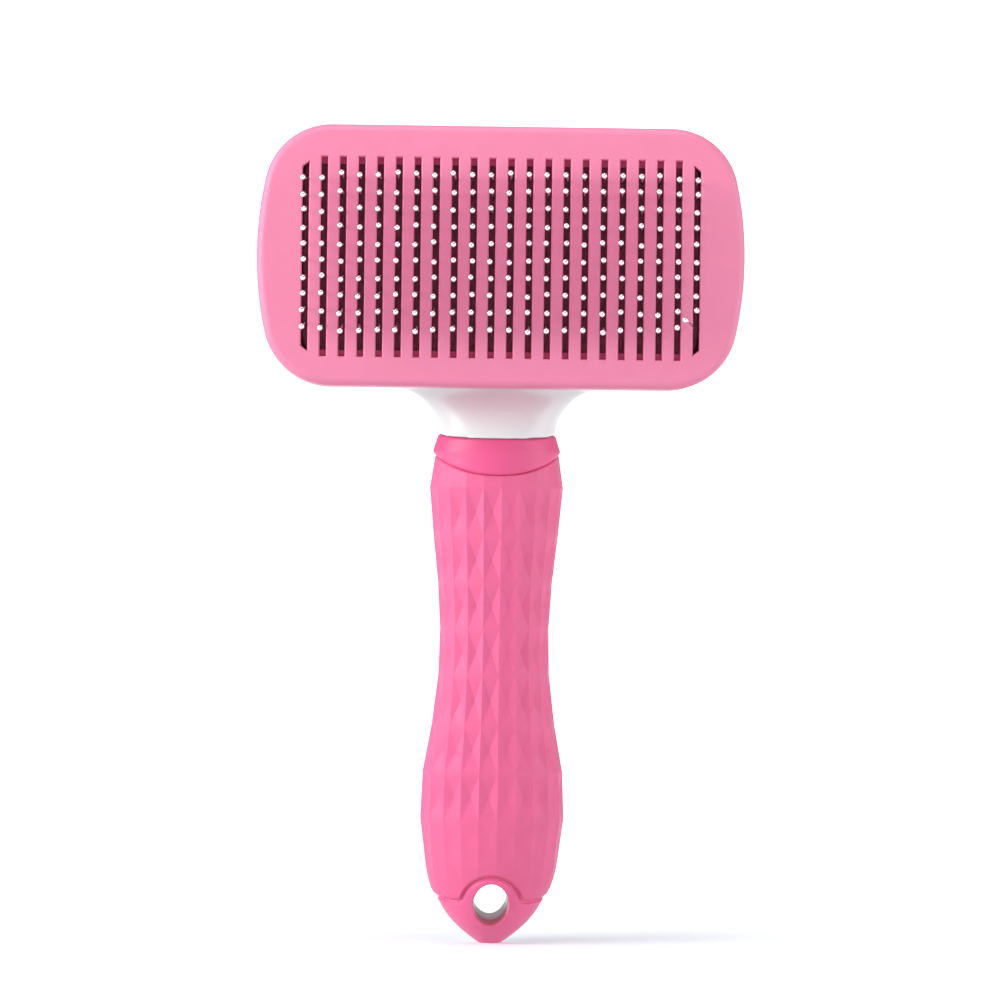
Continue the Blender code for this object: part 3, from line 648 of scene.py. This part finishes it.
def build_face_plate():
    edge = rounded(0.0, -EDGE_FILLET, EDGE_FILLET, 10)
    steps = [
        (SKIRT_WALL, PLATE_THICKNESS),
        (SKIRT_WALL, SKIRT_DEPTH - SKIRT_CHAMFER),
        (SKIRT_WALL * 0.5, SKIRT_DEPTH + SKIRT_CROWN),
        (SKIRT_ROUND, SKIRT_DEPTH),
        (0.0, SKIRT_DEPTH - SKIRT_ROUND),
        (0.0, EDGE_FILLET),
        *[(inset, -depth) for inset, depth in edge],
    ]
    # The plate's pink, its painted-shade copy for the rib ledges and its painted-highlight copy for the
    # slot rims.
    plate_with_painted_light = [PLATE, SHADED_LEDGE, HIGHLIT_LIP]
    plate = dress(loft("face_plate_front", head_rings(steps)), plate_with_painted_light)
    cut(plate, dress(all_slots(), plate_with_painted_light))
    ribs = []
    for side in (-1, 1):
        low, high = sorted((side * RIB_INNER, side * RIB_OUTER))
        rib_low = (-RIB_HALF_WIDTH, FACE_Y + RIB_FRONT, HEAD_Z + low - SLOT_DROP)
        rib_high = (RIB_HALF_WIDTH, FACE_Y + RIB_BACK, HEAD_Z + high - SLOT_DROP)
        rib = dress(box(f"rib_{side}", rib_low, rib_high), plate_with_painted_light)
        # The ribs take the second material, the painted shade of the ledges.
        rib.data.polygons.foreach_set("material_index", [1] * len(rib.data.polygons))
        ribs.append(rib)
    posts = []
    for side, x in SIDES:
        posts.append(rod(f"post_{side}", x * POST_X, HEAD_Z, POST_RADIUS, POST_START, POST_END))
    join(plate, *ribs, *posts)
    shade(plate, 32)
    return settle(plate, EJECTOR, "plate_pink", plate_with_painted_light, "face_plate")


def add_tube(shape, line, radii, sides, material):
    """A round tube through a line of points, closed at both ends."""
    direction = (line[-1] - line[0]).normalized()
    side = direction.cross(Vector((0.0, 0.0, 1.0))).normalized()
    up = side.cross(direction)
    loops = []
    for point, radius in zip(line, radii):
        loop = []
        for i in range(sides):
            angle = 2 * math.pi * i / sides
            loop.append(shape.verts.new(point + (side * math.cos(angle) + up * math.sin(angle)) * radius))
        loops.append(loop)
    made = []
    for lower, upper in zip(loops, loops[1:]):
        for i in range(sides):
            j = (i + 1) % sides
            made.append(shape.faces.new((lower[i], lower[j], upper[j], upper[i])))
    made.append(shape.faces.new(reversed(loops[0])))
    made.append(shape.faces.new(loops[-1]))
    for face in made:
        face.material_index = material
        face.smooth = True
    return made


def add_pin(shape, root, tip, bend, slot_x):
    """One wire from the pad to its ball, with a slight bend, and the wire's end in the ball.

    The wire meets the ball on the side of the slot's middle, which keeps it clear of the slot.
    """
    along = (tip - root).normalized()
    centre = tip - along * BALL_RADIUS
    aside = min(max(slot_x - tip.x, -WIRE_ASIDE), WIRE_ASIDE)
    meet = centre + Vector((aside, 0.0, 0.0))
    line = []
    for step in (0.0, 0.25, 0.5, 0.75, 1.0):
        point = root.lerp(meet, step)
        line.append(point + bend * math.sin(math.pi * step))
    add_tube(shape, line, [WIRE_RADIUS] * len(line), WIRE_SIDES, 0)
    ball, radii = [], []
    for i in range(BALL_RINGS + 1):
        angle = math.pi * (0.04 + 0.92 * i / BALL_RINGS)
        ball.append(centre - along * BALL_RADIUS * math.cos(angle))
        radii.append(BALL_RADIUS * math.sin(angle))
    faces = add_tube(shape, ball, radii, BALL_SIDES, 1)
    faces[-1].material_index = 2
    for face in faces[-2 - BALL_SIDES : -2]:
        face.material_index = 2


def pin_ends(column, pin, chance):
    """Root and tip of a pin. The pins of the outer columns lean in towards the middle row."""
    place_up = (PINS_PER_COLUMN - 1) / 2 - pin
    x = column_x(column)
    outer = min(column, SLOT_COUNT - 1 - column) < EDGE_COLUMNS
    pitch = EDGE_TIP_PITCH if outer else PIN_TIP_PITCH
    root_shift = ROOT_SHIFTS[column % 2] + chance.uniform(-ROOT_WANDER, ROOT_WANDER)
    root_up = PIN_ROOT_RISE + PIN_ROOT_PITCH * place_up
    tip_up = PIN_TIP_RISE + pitch * place_up + PIN_TIP_TURN * x
    if outer and pin == 0:
        tip_up -= FIRST_TIP_DROP
    root = Vector((x + root_shift, FACE_Y + PIN_ROOT_DEPTH, HEAD_Z + root_up))
    tip = Vector(
        (
            x * TIP_SPREAD + TIP_SHIFT + chance.uniform(-TIP_WANDER_ACROSS, TIP_WANDER_ACROSS),
            FACE_Y - PIN_PROUD + chance.uniform(-TIP_WANDER_OUT, 0.0),
            HEAD_Z + tip_up + chance.uniform(-TIP_WANDER_UP, TIP_WANDER_UP),
        )
    )
    return root, tip


def build_pins():
    chance = random.Random(22)
    for column in range(SLOT_COUNT):
        shape = bmesh.new()
        for pin in range(PINS_PER_COLUMN):
            root, tip = pin_ends(column, pin, chance)
            bend_across = chance.uniform(-BEND_ACROSS, BEND_ACROSS)
            bend = Vector((bend_across, 0.0, chance.uniform(*BEND_UP)))
            if (column, pin) == (SLOT_COUNT - 1, PINS_PER_COLUMN - 1):
                stray_ends = root, tip + Vector(STRAY_SHIFT)
                continue
            add_pin(shape, root, tip, bend, column_x(column))
        name = f"pin_column_{column + 1:02d}"
        made = place(f"pins_{column + 1:02d}", mesh_from(name, shape))
        settle(made, ROOT, "pin_steel", [WIRE, TIP, DOT], name)
    shape = bmesh.new()
    stray_x = column_x(SLOT_COUNT - 1)
    add_pin(shape, *stray_ends, Vector((0.0, 0.0, 0.0)), stray_x)
    stray = place("pin_bent", mesh_from("pin_bent", shape))
    settle(stray, ROOT, "pin_steel", [WIRE, TIP, DOT])
    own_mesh(stray)


def build_pad():
    rings = []
    for inset, depth in PAD_STEPS:
        outline = oval(PAD_HALF_WIDTH - inset, PAD_HALF_HEIGHT - inset, PAD_POWER)
        rings.append(at_depth(outline, PAD_FRONT + depth))
    pad = loft("pin_cushion", rings)
    shade(pad, 40)
    settle(pad, ROOT, "pad_rubber", [PAD], "pin_pad")


def neck_solid():
    rings = []
    for z, half_width, front, back in NECK_SECTIONS:
        half_depth = (back - front) / 2
        middle = FACE_Y + (front + back) / 2
        tilt = LEAN if z == NECK_BOTTOM else 0.0
        rings.append([(x, middle + y, z + y * tilt) for x, y in oval(half_width, half_depth, 2.3)])
    return loft("neck", rings)


def tang_solid(name, gap, bottom, top):
    middle = FACE_Y + TANG_DEPTH
    outline = oval(TANG_HALF_WIDTH + gap, TANG_HALF_DEPTH + gap, 2.6, 48)
    return loft(name, [[(x, middle + y, z) for x, y in outline] for z in (bottom, top)])


def base_screw_places():
    return [(x * BASE_SCREW_X, HEAD_Z + z * BASE_SCREW_Z) for z in (1, -1) for _, x in SIDES]


def build_head_shell():
    rim_inset = SKIRT_WALL + CLEARANCE
    outer = [
        (rim_inset, RIM_FRONT),
        (rim_inset, SHELL_STEP),
        (0.0, SHELL_STEP),
        (0.0, SHELL_ROUND_START),
        *rounded(0.0, SHELL_ROUND_START, SHELL_ROUND),
    ]
    hollow = [
        (rim_inset + RIM_WALL, RIM_FRONT - OVERSHOOT),
        (rim_inset + RIM_WALL, SHELL_STEP),
        (SHELL_WALL, SHELL_STEP + HOLLOW_STEP),
        (SHELL_WALL, SHELL_ROUND_START),
        *rounded(SHELL_WALL, SHELL_ROUND_START, SHELL_ROUND - SHELL_WALL),
    ]
    shell = loft("head_and_neck", head_rings(outer))
    join(shell, neck_solid())
    cut(shell, loft("bowl_hollow", head_rings(hollow)))
    front = BASE_BACK + CLEARANCE
    places = base_screw_places()
    join(shell, *[rod("boss", x, z, BOSS_RADIUS, front, BOSS_END) for x, z in places])
    holes = [rod("bore", x, z, BORE_RADIUS, front - OVERSHOOT, BORE_END) for x, z in places]
    opening = oval(BUTTON_HALF_WIDTH + BUTTON_GAP, BUTTON_HALF_HEIGHT + BUTTON_GAP)
    holes.append(prism("opening", opening, *OPENING_DEPTHS))
    holes.append(tang_solid("tang_socket", CLEARANCE, NECK_BOTTOM - 0.003, TANG_TOP + CLEARANCE))
    for side, x in SIDES:
        spot = (x * NECK_SCREW_X, NECK_SCREW_Z)
        holes.append(rod(f"bore_{side}", *spot, BORE_RADIUS, *NECK_BORE_DEPTHS))
        holes.append(rod(f"sink_{side}", *spot, NECK_SINK_RADIUS, *NECK_SINK_DEPTHS))
    cut(shell, *holes)
    soften(shell, 0.0005, 8)
    shade(shell)
    return settle(shell, ROOT, "body_white", [WHITE], "head_shell")


def build_button():
    front = YOKE_FRONT + YOKE_THICKNESS + CLEARANCE
    width = BUTTON_HALF_WIDTH
    height = BUTTON_HALF_HEIGHT
    wall = BUTTON_WALL
    steps = [
        (width * 0.45, height * 0.45, BUTTON_BACK - 0.0030),
        (width - wall * 1.6, height - wall * 1.6, BUTTON_BACK - 0.0026),
        (width - wall, height - wall, BUTTON_BACK - 0.0040),
        (width - wall, height - wall, front),
        (width, height, front),
        (width, height, BUTTON_BACK - BUTTON_ROUND),
    ]
    for inset, depth in rounded(0.0, BUTTON_BACK - BUTTON_ROUND, BUTTON_ROUND):
        steps.append((width - inset, height - inset, depth))
    for share in (0.8, 0.7, 0.6, 0.5, 0.4, 0.3, 0.2, 0.1):
        dish = BUTTON_DISH * (1 - (share / BUTTON_DISH_EDGE) ** 2)
        steps.append((width * share, height * share, BUTTON_BACK - dish))
    button = loft("button_cap", [at_depth(oval(w, h), depth) for w, h, depth in steps])
    shade(button, 40)
    return settle(button, EJECTOR, "button_pink", [BUTTON], "push_button")


# Handle


def axis_y(z):
    return FACE_Y + AXIS_TOP_DEPTH + (AXIS_TOP_Z - z) * LEAN


def half_sizes(z, curved=False):
    """The handle's half width and half depth at a height, on straight or on smooth lines."""
    heights, widths, depths = (np.array(column) for column in zip(*HANDLE_SECTIONS))
    if not curved:
        return np.interp(z, heights, widths), np.interp(z, heights, depths)
    return smooth_line(heights, widths, z), smooth_line(heights, depths, z)


def smooth_line(xs, ys, x):
    """A cubic through points that doesn't overshoot them."""
    slopes = np.diff(ys) / np.diff(xs)
    tangents = np.concatenate(([slopes[0]], (slopes[:-1] + slopes[1:]) / 2, [slopes[-1]]))
    for i, slope in enumerate(slopes):
        limit = 3 * abs(slope)
        tangents[i] = np.clip(tangents[i], -limit, limit)
        tangents[i + 1] = np.clip(tangents[i + 1], -limit, limit)
    i = int(np.clip(np.searchsorted(xs, x) - 1, 0, len(xs) - 2))
    run = xs[i + 1] - xs[i]
    t = min(max((x - xs[i]) / run, 0.0), 1.0)
    start = (1 + 2 * t) * (1 - t) ** 2 * ys[i] + t * (1 - t) ** 2 * run * tangents[i]
    end = t * t * (3 - 2 * t) * ys[i + 1] + t * t * (t - 1) * run * tangents[i + 1]
    return start + end


def section_angles(half_width, half_depth, count):
    """Angles that space points evenly along an ellipse, from its right-hand end."""
    angles = np.linspace(0.0, 2 * math.pi, 721)
    x = half_width * np.cos(angles)
    y = half_depth * np.sin(angles)
    run = np.concatenate(([0.0], np.cumsum(np.hypot(np.diff(x), np.diff(y)))))
    return np.interp(np.arange(count) / count * run[-1], run, angles)


def handle_ring(z, inset=0.0, count=96, shift=None, curved=True):
    """A ring round the handle. shift moves each of its points up by a function of the angle."""
    ring = []
    for angle in section_angles(*half_sizes(z, curved), count):
        height = z + (shift(angle) if shift else 0.0)
        half_width, half_depth = half_sizes(height, curved)
        x = (half_width - inset) * math.cos(angle)
        ring.append(Vector((x, axis_y(height) - (half_depth - inset) * math.sin(angle), height)))
    return ring


def collar_curve(angle):
    """The collar's lower edge dips in the middle of the front and of the back."""
    return -COLLAR_DIP * abs(math.sin(angle)) ** 1.5


def top_tilt(angle):
    """The joint under the neck stands square to the handle: its front is lower."""
    return -TOP_HALF_DEPTH * LEAN * math.sin(angle)


def build_collar():
    """A straight cone with rounded edges. Its lower edge follows the dip of the sleeve's top."""
    top = NECK_BOTTOM - SEAM
    wall = SLEEVE_WALL - CLEARANCE
    rings = [handle_ring(top - d, i, shift=top_tilt, curved=False) for d, i in COLLAR_TOP_ROUND]
    first = top - COLLAR_TOP_ROUND[-1][0]
    last = COLLAR_SIDE_Z + COLLAR_FOOT_ROUND[0][0]
    for i in range(1, COLLAR_STEPS):
        part = i / COLLAR_STEPS
        z = first * (1 - part) + last * part

        def between(angle, share=part):
            return top_tilt(angle) * (1 - share) + collar_curve(angle) * share

        rings.append(handle_ring(z, shift=between, curved=False))
    for rise, inset in COLLAR_FOOT_ROUND:
        rings.append(handle_ring(COLLAR_SIDE_Z + rise, inset, shift=collar_curve, curved=False))
    rings.append(handle_ring(COLLAR_SIDE_Z, wall, shift=collar_curve, curved=False))
    rings.append(handle_ring(top, wall, shift=top_tilt, curved=False))
    collar = sleeve("collar", rings)
    shade(collar, 50)
    return settle(collar, ROOT, "collar_rubber", [COLLAR], "collar_ring")


def facet_bands():
    """Pairs of rings round each band of facets, from the top, with the depth of its cells."""
    top = COLLAR_SIDE_Z - SEAM - SLEEVE_LIP
    rings = [handle_ring(top, FACET_EDGE_INSET, FACET_COLUMNS, shift=collar_curve, curved=False)]
    rings += [handle_ring(z, 0.0, FACET_COLUMNS, curved=False) for z in FACET_ROWS]
    depths = [0.0] + [FACET_DEPTH] * (len(FACET_ROWS) - 2) + [LAST_FACET_DEPTH]
    return list(zip(rings, rings[1:], depths))


def band_row(upper, lower, v, depth):
    """One row of points round a band, pressed in towards the middle of each cell."""
    row = []
    for c in range(FACET_COLUMNS):
        d = (c + 1) % FACET_COLUMNS
        for i in range(FACET_STEPS):
            u = i / FACET_STEPS
            point = (upper[c] * (1 - u) + upper[d] * u) * (1 - v)
            point += (lower[c] * (1 - u) + lower[d] * u) * v
            middle = Vector((0.0, axis_y(point.z), point.z))
            hollow = 1 - max(abs(2 * u - 1), abs(2 * v - 1))
            row.append(point + (middle - point).normalized() * depth * hollow)
    return row


def foot_row(z):
    """A row below the facets, whose outline turns from faceted to smooth further down."""
    smooth = handle_ring(z, 0.0, FACET_COLUMNS * FACET_STEPS)
    corners = handle_ring(z, 0.0, FACET_COLUMNS)
    straight = band_row(corners, corners, 0.0, 0.0)
    share = min((FACET_ROWS[-1] - z) / FACET_FADE, 1.0)
    return [a.lerp(b, share) for a, b in zip(straight, smooth)]


def facet_crease(ring, point):
    """Folds the quads on a cell's two diagonals along them."""
    row = ring - len(SLEEVE_TOP_ROUND)
    if not 0 <= row < FACET_STEPS * len(FACET_ROWS):
        return 0
    across = point % FACET_STEPS
    down = row % FACET_STEPS
    if across == down:
        return 1
    return -1 if across + down == FACET_STEPS - 1 else 0


def joint_groove(name):
    """The soft groove along a joint: a band either side of it, just below the surface."""
    inside = loft(f"{name}_inside", [handle_ring(z, GROOVE_DEPTH) for z in END_HEIGHTS])
    return cut(end_region(name, GROOVE_HALF), inside)


def build_grip():
    rows = []
    for upper, lower, depth in facet_bands():
        for step in range(FACET_STEPS):
            rows.append(band_row(upper, lower, step / FACET_STEPS, depth))
    rings = []
    for rise, inset in SLEEVE_TOP_ROUND:
        ring = []
        for point in rows[0]:
            middle = Vector((0.0, axis_y(point.z), point.z))
            ring.append(point + Vector((0.0, 0.0, rise)) + (middle - point).normalized() * inset)
        rings.append(ring)
    rings += rows
    rings += [foot_row(z) for z in FOOT_HEIGHTS]
    count = FACET_COLUMNS * FACET_STEPS
    for z in reversed(FACET_ROWS + FOOT_HEIGHTS[-1:]):
        rings.append(handle_ring(z, SLEEVE_WALL, count))
    top = COLLAR_SIDE_Z - CLEARANCE
    rings.append(handle_ring(top, SLEEVE_WALL, count, shift=collar_curve, curved=False))
    grip = sleeve("grip", rings, facet_crease)
    cut(grip, end_region("cap_room", SEAM), joint_groove("sleeve_groove"))
    shade(grip, FACET_CREASE_ANGLE)
    keep_uprights_crisp(grip)
    return settle(grip, ROOT, "grip_rubber", [GRIP], "grip_sleeve")


def along_eye(name, outline):
    """A bar along the eye's axis, which stands square to the leaning handle."""
    centre = Vector((0.0, axis_y(EYE_Z), EYE_Z))
    turn = Matrix.Rotation(math.atan(LEAN), 4, "X")
    rings = [[centre + turn @ Vector((x, y, z)) for x, z in outline] for y in (-FAR, FAR)]
    return loft(name, rings)


def eye_bar(name, grow=0.0):
    return along_eye(name, oval(EYE_HALF_WIDTH + grow, EYE_HALF_HEIGHT + grow, 2.0, 72))


def joint_profile(grow):
    """Points (x, z) along the joint from the right: level, a fillet, the arch and back down."""
    reach = EYE_ARCH_RADIUS + EYE_LINE_FILLET
    lift = EYE_LINE_RISE + EYE_LINE_FILLET
    corner = math.sqrt(reach**2 - lift**2)
    touch = math.atan2(lift, corner)
    fillet = EYE_LINE_FILLET - grow
    right = [(FAR, EYE_LINE_RISE + grow)]
    for angle in np.linspace(-math.pi / 2, touch - math.pi, 12):
        right.append((corner + fillet * math.cos(angle), lift + fillet * math.sin(angle)))
    arch = EYE_ARCH_RADIUS + grow
    for angle in np.linspace(touch, math.pi / 2, 24)[1:]:
        right.append((arch * math.cos(angle), arch * math.sin(angle)))
    return right + [(-x, z) for x, z in reversed(right[:-1])]


def end_region(name, grow=0.0):
    """Everything that the end piece may fill: all below the joint."""
    return along_eye(name, [(-FAR, -FAR), (FAR, -FAR), *joint_profile(grow)])


def end_blank(name):
    """The handle's rounded end: everything below the joint with the sleeve."""
    heights = [0.0, 0.0003, 0.0008, *END_HEIGHTS]
    blank = loft(name, [handle_ring(z) for z in heights])
    return combine(blank, "INTERSECT", end_region(f"{name}_region"))


def half_space(name, behind, gap):
    """A block that covers everything behind, or in front of, the handle's leaning middle."""
    near = gap if behind else -FAR
    far = FAR if behind else -gap
    corners = ((-FAR, near), (FAR, near), (FAR, far), (-FAR, far))
    return loft(name, [[(x, axis_y(z) + y, z) for x, y in corners] for z in (-FAR, FAR)])


def build_end_cap():
    cap = end_blank("end_piece")
    joint_ring = cut(end_region("cap_edge", GROOVE_HALF), end_region("cap_below", -GROOVE_HALF))
    cut(joint_ring, loft("cap_inside", [handle_ring(z, GROOVE_DEPTH) for z in END_HEIGHTS]))
    cut(cap, joint_ring, half_space("behind_cap", True, 0.0), eye_bar("eye"))
    soften(cap, 0.00022, 5)
    shade(cap)
    return settle(cap, ROOT, "cap_pink", [CAP], "end_cap")


def build_core():
    inset = SLEEVE_WALL + CLEARANCE
    top = NECK_BOTTOM - CLEARANCE
    sections = [z for z, _, _ in HANDLE_SECTIONS if CORE_BOTTOM < z < top - 2 * OVERSHOOT]
    heights = [CORE_BOTTOM, *sections]
    rings = [handle_ring(z, inset) for z in heights]
    share = 1 - inset / TOP_HALF_DEPTH
    rings.append(handle_ring(top, inset, shift=lambda angle: top_tilt(angle) * share))
    core = loft("core", rings)
    join(core, tang_solid("tang", 0.0, top - 0.003, TANG_TOP))
    front_low = half_space("front_low", False, -2 * CLEARANCE)
    combine(front_low, "INTERSECT", end_region("cap_space", CLEARANCE))
    cut(core, front_low)
    rear = end_blank("rear_eye")
    cut(rear, half_space("front_of_rear", False, -CLEARANCE))
    join(core, rear)
    cut(core, eye_bar("core_eye"))
    soften(core, 0.0003, 4)
    shade(core)
    return settle(core, ROOT, "body_white", [WHITE], "handle_core")


# Hardware


def build_screw(name, body):
    """A turned pan-head screw with a cross recess, in the space of its CAD node."""
    low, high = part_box(name)
    x = (low.x + high.x) / 2
    z = (low.z + high.z) / 2
    head = (high.z - low.z) / 2
    shank = head / 2
    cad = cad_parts[name].data.vertices
    wide = [v.co.y for v in cad if abs(v.co.z - z) > head * 0.8 or abs(v.co.x - x) > head * 0.8]
    into_back = sum(wide) / len(wide) < (low.y + high.y) / 2
    top, point, way = (low.y, high.y, 1) if into_back else (high.y, low.y, -1)
    rings = [
        (0.55 * head, top + way * 0.00002),
        (0.72 * head, top + way * 0.00008),
        (0.9 * head, top + way * 0.0003),
        (head, top + way * 0.0007),
        (head, top + way * 0.0012),
        (shank, top + way * 0.00122),
        (shank, point - way * 0.0012),
        (shank * 0.25, point),
    ]
    outline = oval(1.0, 1.0, 2.0, 32)
    screw = loft(f"{name}_turned", [[(x + a * r, y, z + b * r) for a, b in outline] for r, y in rings])
    arms = []
    for wide_half, tall_half in ((0.0011, 0.00022), (0.00022, 0.0011)):
        depth = sorted((top - way * 0.0005, top + way * 0.0007))
        arm_low = (x - wide_half, depth[0], z - tall_half)
        arm_high = (x + wide_half, depth[1], z + tall_half)
        arms.append(box("arm", arm_low, arm_high))
    cut(screw, *arms)
    shade(screw, 35)
    return settle(screw, body, "hardware_steel", [ZINC], name)


def build_spring(side, x):
    """A return spring, coiled from its cup to the yoke. In the brush it shortens against its cup as the
    plate moves out; here it is one fixed coil.
    """
    start = CUP_FLOOR + CLEARANCE + SPRING_WIRE
    end = YOKE_FRONT - CLEARANCE - SPRING_WIRE
    steps = int(SPRING_TURNS * 24)
    curve = bpy.data.curves.new("coil", "CURVE")
    curve.dimensions = "3D"
    curve.bevel_depth = SPRING_WIRE
    curve.bevel_resolution = 2
    curve.use_fill_caps = True
    wire = curve.splines.new("POLY")
    wire.points.add(steps)
    for i, point in enumerate(wire.points):
        angle = 2 * math.pi * SPRING_TURNS * i / steps
        across = x * POST_X + SPRING_RADIUS * math.cos(angle)
        up = HEAD_Z + SPRING_RADIUS * math.sin(angle)
        point.co = (across, FACE_Y + start + (end - start) * i / steps, up, 1.0)
    holder = place("coil", curve)
    graph = bpy.context.evaluated_depsgraph_get()
    mesh = bpy.data.meshes.new_from_object(holder.evaluated_get(graph))
    bpy.data.objects.remove(holder, do_unlink=True)
    spring = place(f"coil_{side}", mesh)
    shade(spring)
    settle(spring, ROOT, "hardware_steel", [ZINC], f"return_spring_{side}")
    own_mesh(spring)


def dress_cad_nodes():
    """The board and the yoke keep their CAD shapes and get finished materials."""
    for name, material in (("pin_base", BOARD), ("push_yoke", WHITE)):
        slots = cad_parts[name].material_slots
        for slot in slots:
            slot.material = material


# Stage


def glow(name, color, near, far, reach):
    """A dull white that also glows: near at the object's middle, far beyond the reach."""
    made = bpy.data.materials.new(name)
    made.use_nodes = True
    tree = made.node_tree
    shader = tree.nodes["Principled BSDF"]
    shader.inputs["Base Color"].default_value = (*color, 1.0)
    shader.inputs["Roughness"].default_value = 0.9
    shader.inputs["Specular IOR Level"].default_value = 0.1
    shader.inputs["Emission Color"].default_value = (1.0, 1.0, 1.0, 1.0)
    coordinates = tree.nodes.new("ShaderNodeTexCoord")
    distance = tree.nodes.new("ShaderNodeVectorMath")
    distance.operation = "LENGTH"
    tree.links.new(coordinates.outputs["Object"], distance.inputs[0])
    fade = tree.nodes.new("ShaderNodeMapRange")
    fade.interpolation_type = "SMOOTHSTEP"
    fade.inputs["From Min"].default_value = 0.0
    fade.inputs["From Max"].default_value = reach
    fade.inputs["To Min"].default_value = near
    fade.inputs["To Max"].default_value = far
    tree.links.new(distance.outputs["Value"], fade.inputs["Value"])
    tree.links.new(fade.outputs["Result"], shader.inputs["Emission Strength"])
    return made


def build_stage():
    corners = [(-4.0, -4.0, 0.0), (4.0, -4.0, 0.0), (4.0, 4.0, 0.0), (-4.0, 4.0, 0.0)]
    mesh = bpy.data.meshes.new("floor")
    mesh.from_pydata(corners, [], [(0, 1, 2, 3)])
    floor = place("floor", mesh)
    floor.data.materials.append(glow("floor_white", (0.82, 0.87, 0.93), FLOOR_GLOW, 1.05, 0.35))
    floor.visible_diffuse = False
    shape = bmesh.new()
    bmesh.ops.create_icosphere(shape, subdivisions=4, radius=5.0)
    sky_mesh = bpy.data.meshes.new("backdrop")
    shape.to_mesh(sky_mesh)
    shape.free()
    sky = place("backdrop", sky_mesh)
    sky.data.materials.append(glow("backdrop_white", (0.9, 0.9, 0.9), 1.05, 1.05, 1.0))
    sky.visible_diffuse = False
    sky.visible_glossy = False
    sky.visible_transmission = False
    sky.visible_shadow = False


FLOOR_GLOW = 0.22
TENT_BELOW = 0.8
TENT_ABOVE = 0.40
KEY_WATTS = 17.5
FILL_WATTS = 6.5
TOP_WATTS = 4.5


def area_light(name, spot, target, size, power, color):
    data = bpy.data.lights.new(name, "AREA")
    data.shape = "DISK"
    data.size = size
    data.energy = power
    data.color = color
    light = bpy.data.objects.new(name, data)
    bpy.context.scene.collection.objects.link(light)
    light.location = spot
    light.rotation_euler = (Vector(target) - Vector(spot)).to_track_quat("-Z", "Y").to_euler()
    return light


def build_lights():
    """A pale tent that is dimmer from below, with wide lights on both sides and above."""
    world = bpy.data.worlds.new("studio")
    bpy.context.scene.world = world
    world.use_nodes = True
    tree = world.node_tree
    background = tree.nodes.get("Background") or tree.nodes.new("ShaderNodeBackground")
    background.inputs["Color"].default_value = (0.97, 0.98, 1.0, 1.0)
    coordinates = tree.nodes.new("ShaderNodeTexCoord")
    split = tree.nodes.new("ShaderNodeSeparateXYZ")
    tree.links.new(coordinates.outputs["Generated"], split.inputs["Vector"])
    fade = tree.nodes.new("ShaderNodeMapRange")
    fade.inputs["From Min"].default_value = -0.3
    fade.inputs["From Max"].default_value = 0.2
    fade.inputs["To Min"].default_value = TENT_BELOW
    fade.inputs["To Max"].default_value = TENT_ABOVE
    tree.links.new(split.outputs["Z"], fade.inputs["Value"])
    tree.links.new(fade.outputs["Result"], background.inputs["Strength"])
    area_light("key", (-1.15, -0.45, 0.5), (0.0, 0.0, 0.12), 0.9, KEY_WATTS, (1.0, 0.99, 0.98))
    area_light("fill", (1.15, -0.45, 0.3), (0.0, 0.0, 0.1), 0.9, FILL_WATTS, (1.0, 1.0, 1.0))
    area_light("top", (0.0, -0.35, 1.2), (0.0, 0.0, 0.15), 0.8, TOP_WATTS, (1.0, 1.0, 1.0))
    bpy.context.scene.view_settings.view_transform = "Standard"


# The view, in degrees and metres
CAMERA_ASIDE = -1.4
CAMERA_ROLL = 0.7
CAMERA_SHIFT = 0.0004
CAMERA_HEIGHT = 0.1074
CAMERA_DISTANCE = 1.05
# Millimetres, as Blender has them
CAMERA_LENS = 160.85
CAMERA_SENSOR = 36.0


def build_camera():
    data = bpy.data.cameras.new("camera")
    data.lens = CAMERA_LENS
    data.sensor_width = CAMERA_SENSOR
    data.clip_end = 20.0
    camera = bpy.data.objects.new("camera", data)
    bpy.context.scene.collection.objects.link(camera)
    aside = Matrix.Rotation(math.radians(CAMERA_ASIDE), 4, "Z")
    roll = Matrix.Rotation(math.radians(CAMERA_ROLL), 4, "Z")
    target = Vector((CAMERA_SHIFT, FACE_Y, CAMERA_HEIGHT))
    camera.location = target + aside @ Vector((0.0, -CAMERA_DISTANCE, 0.0))
    camera.rotation_euler = (aside @ Matrix.Rotation(math.radians(90), 4, "X") @ roll).to_euler()
    bpy.context.scene.camera = camera


def build_brush():
    build_face_plate()
    build_pins()
    build_pad()
    build_head_shell()
    build_button()
    build_collar()
    build_grip()
    build_end_cap()
    build_core()
    for side, x in SIDES:
        build_spring(side, x)
        for row in ("upper", "lower"):
            build_screw(f"base_screw_{row}_{side}", ROOT)
        build_screw(f"neck_screw_{side}", ROOT)
        build_screw(f"plate_screw_{side}", EJECTOR)
        build_screw(f"button_screw_{side}", EJECTOR)
    dress_cad_nodes()


build_brush()
build_stage()
build_lights()
build_camera()
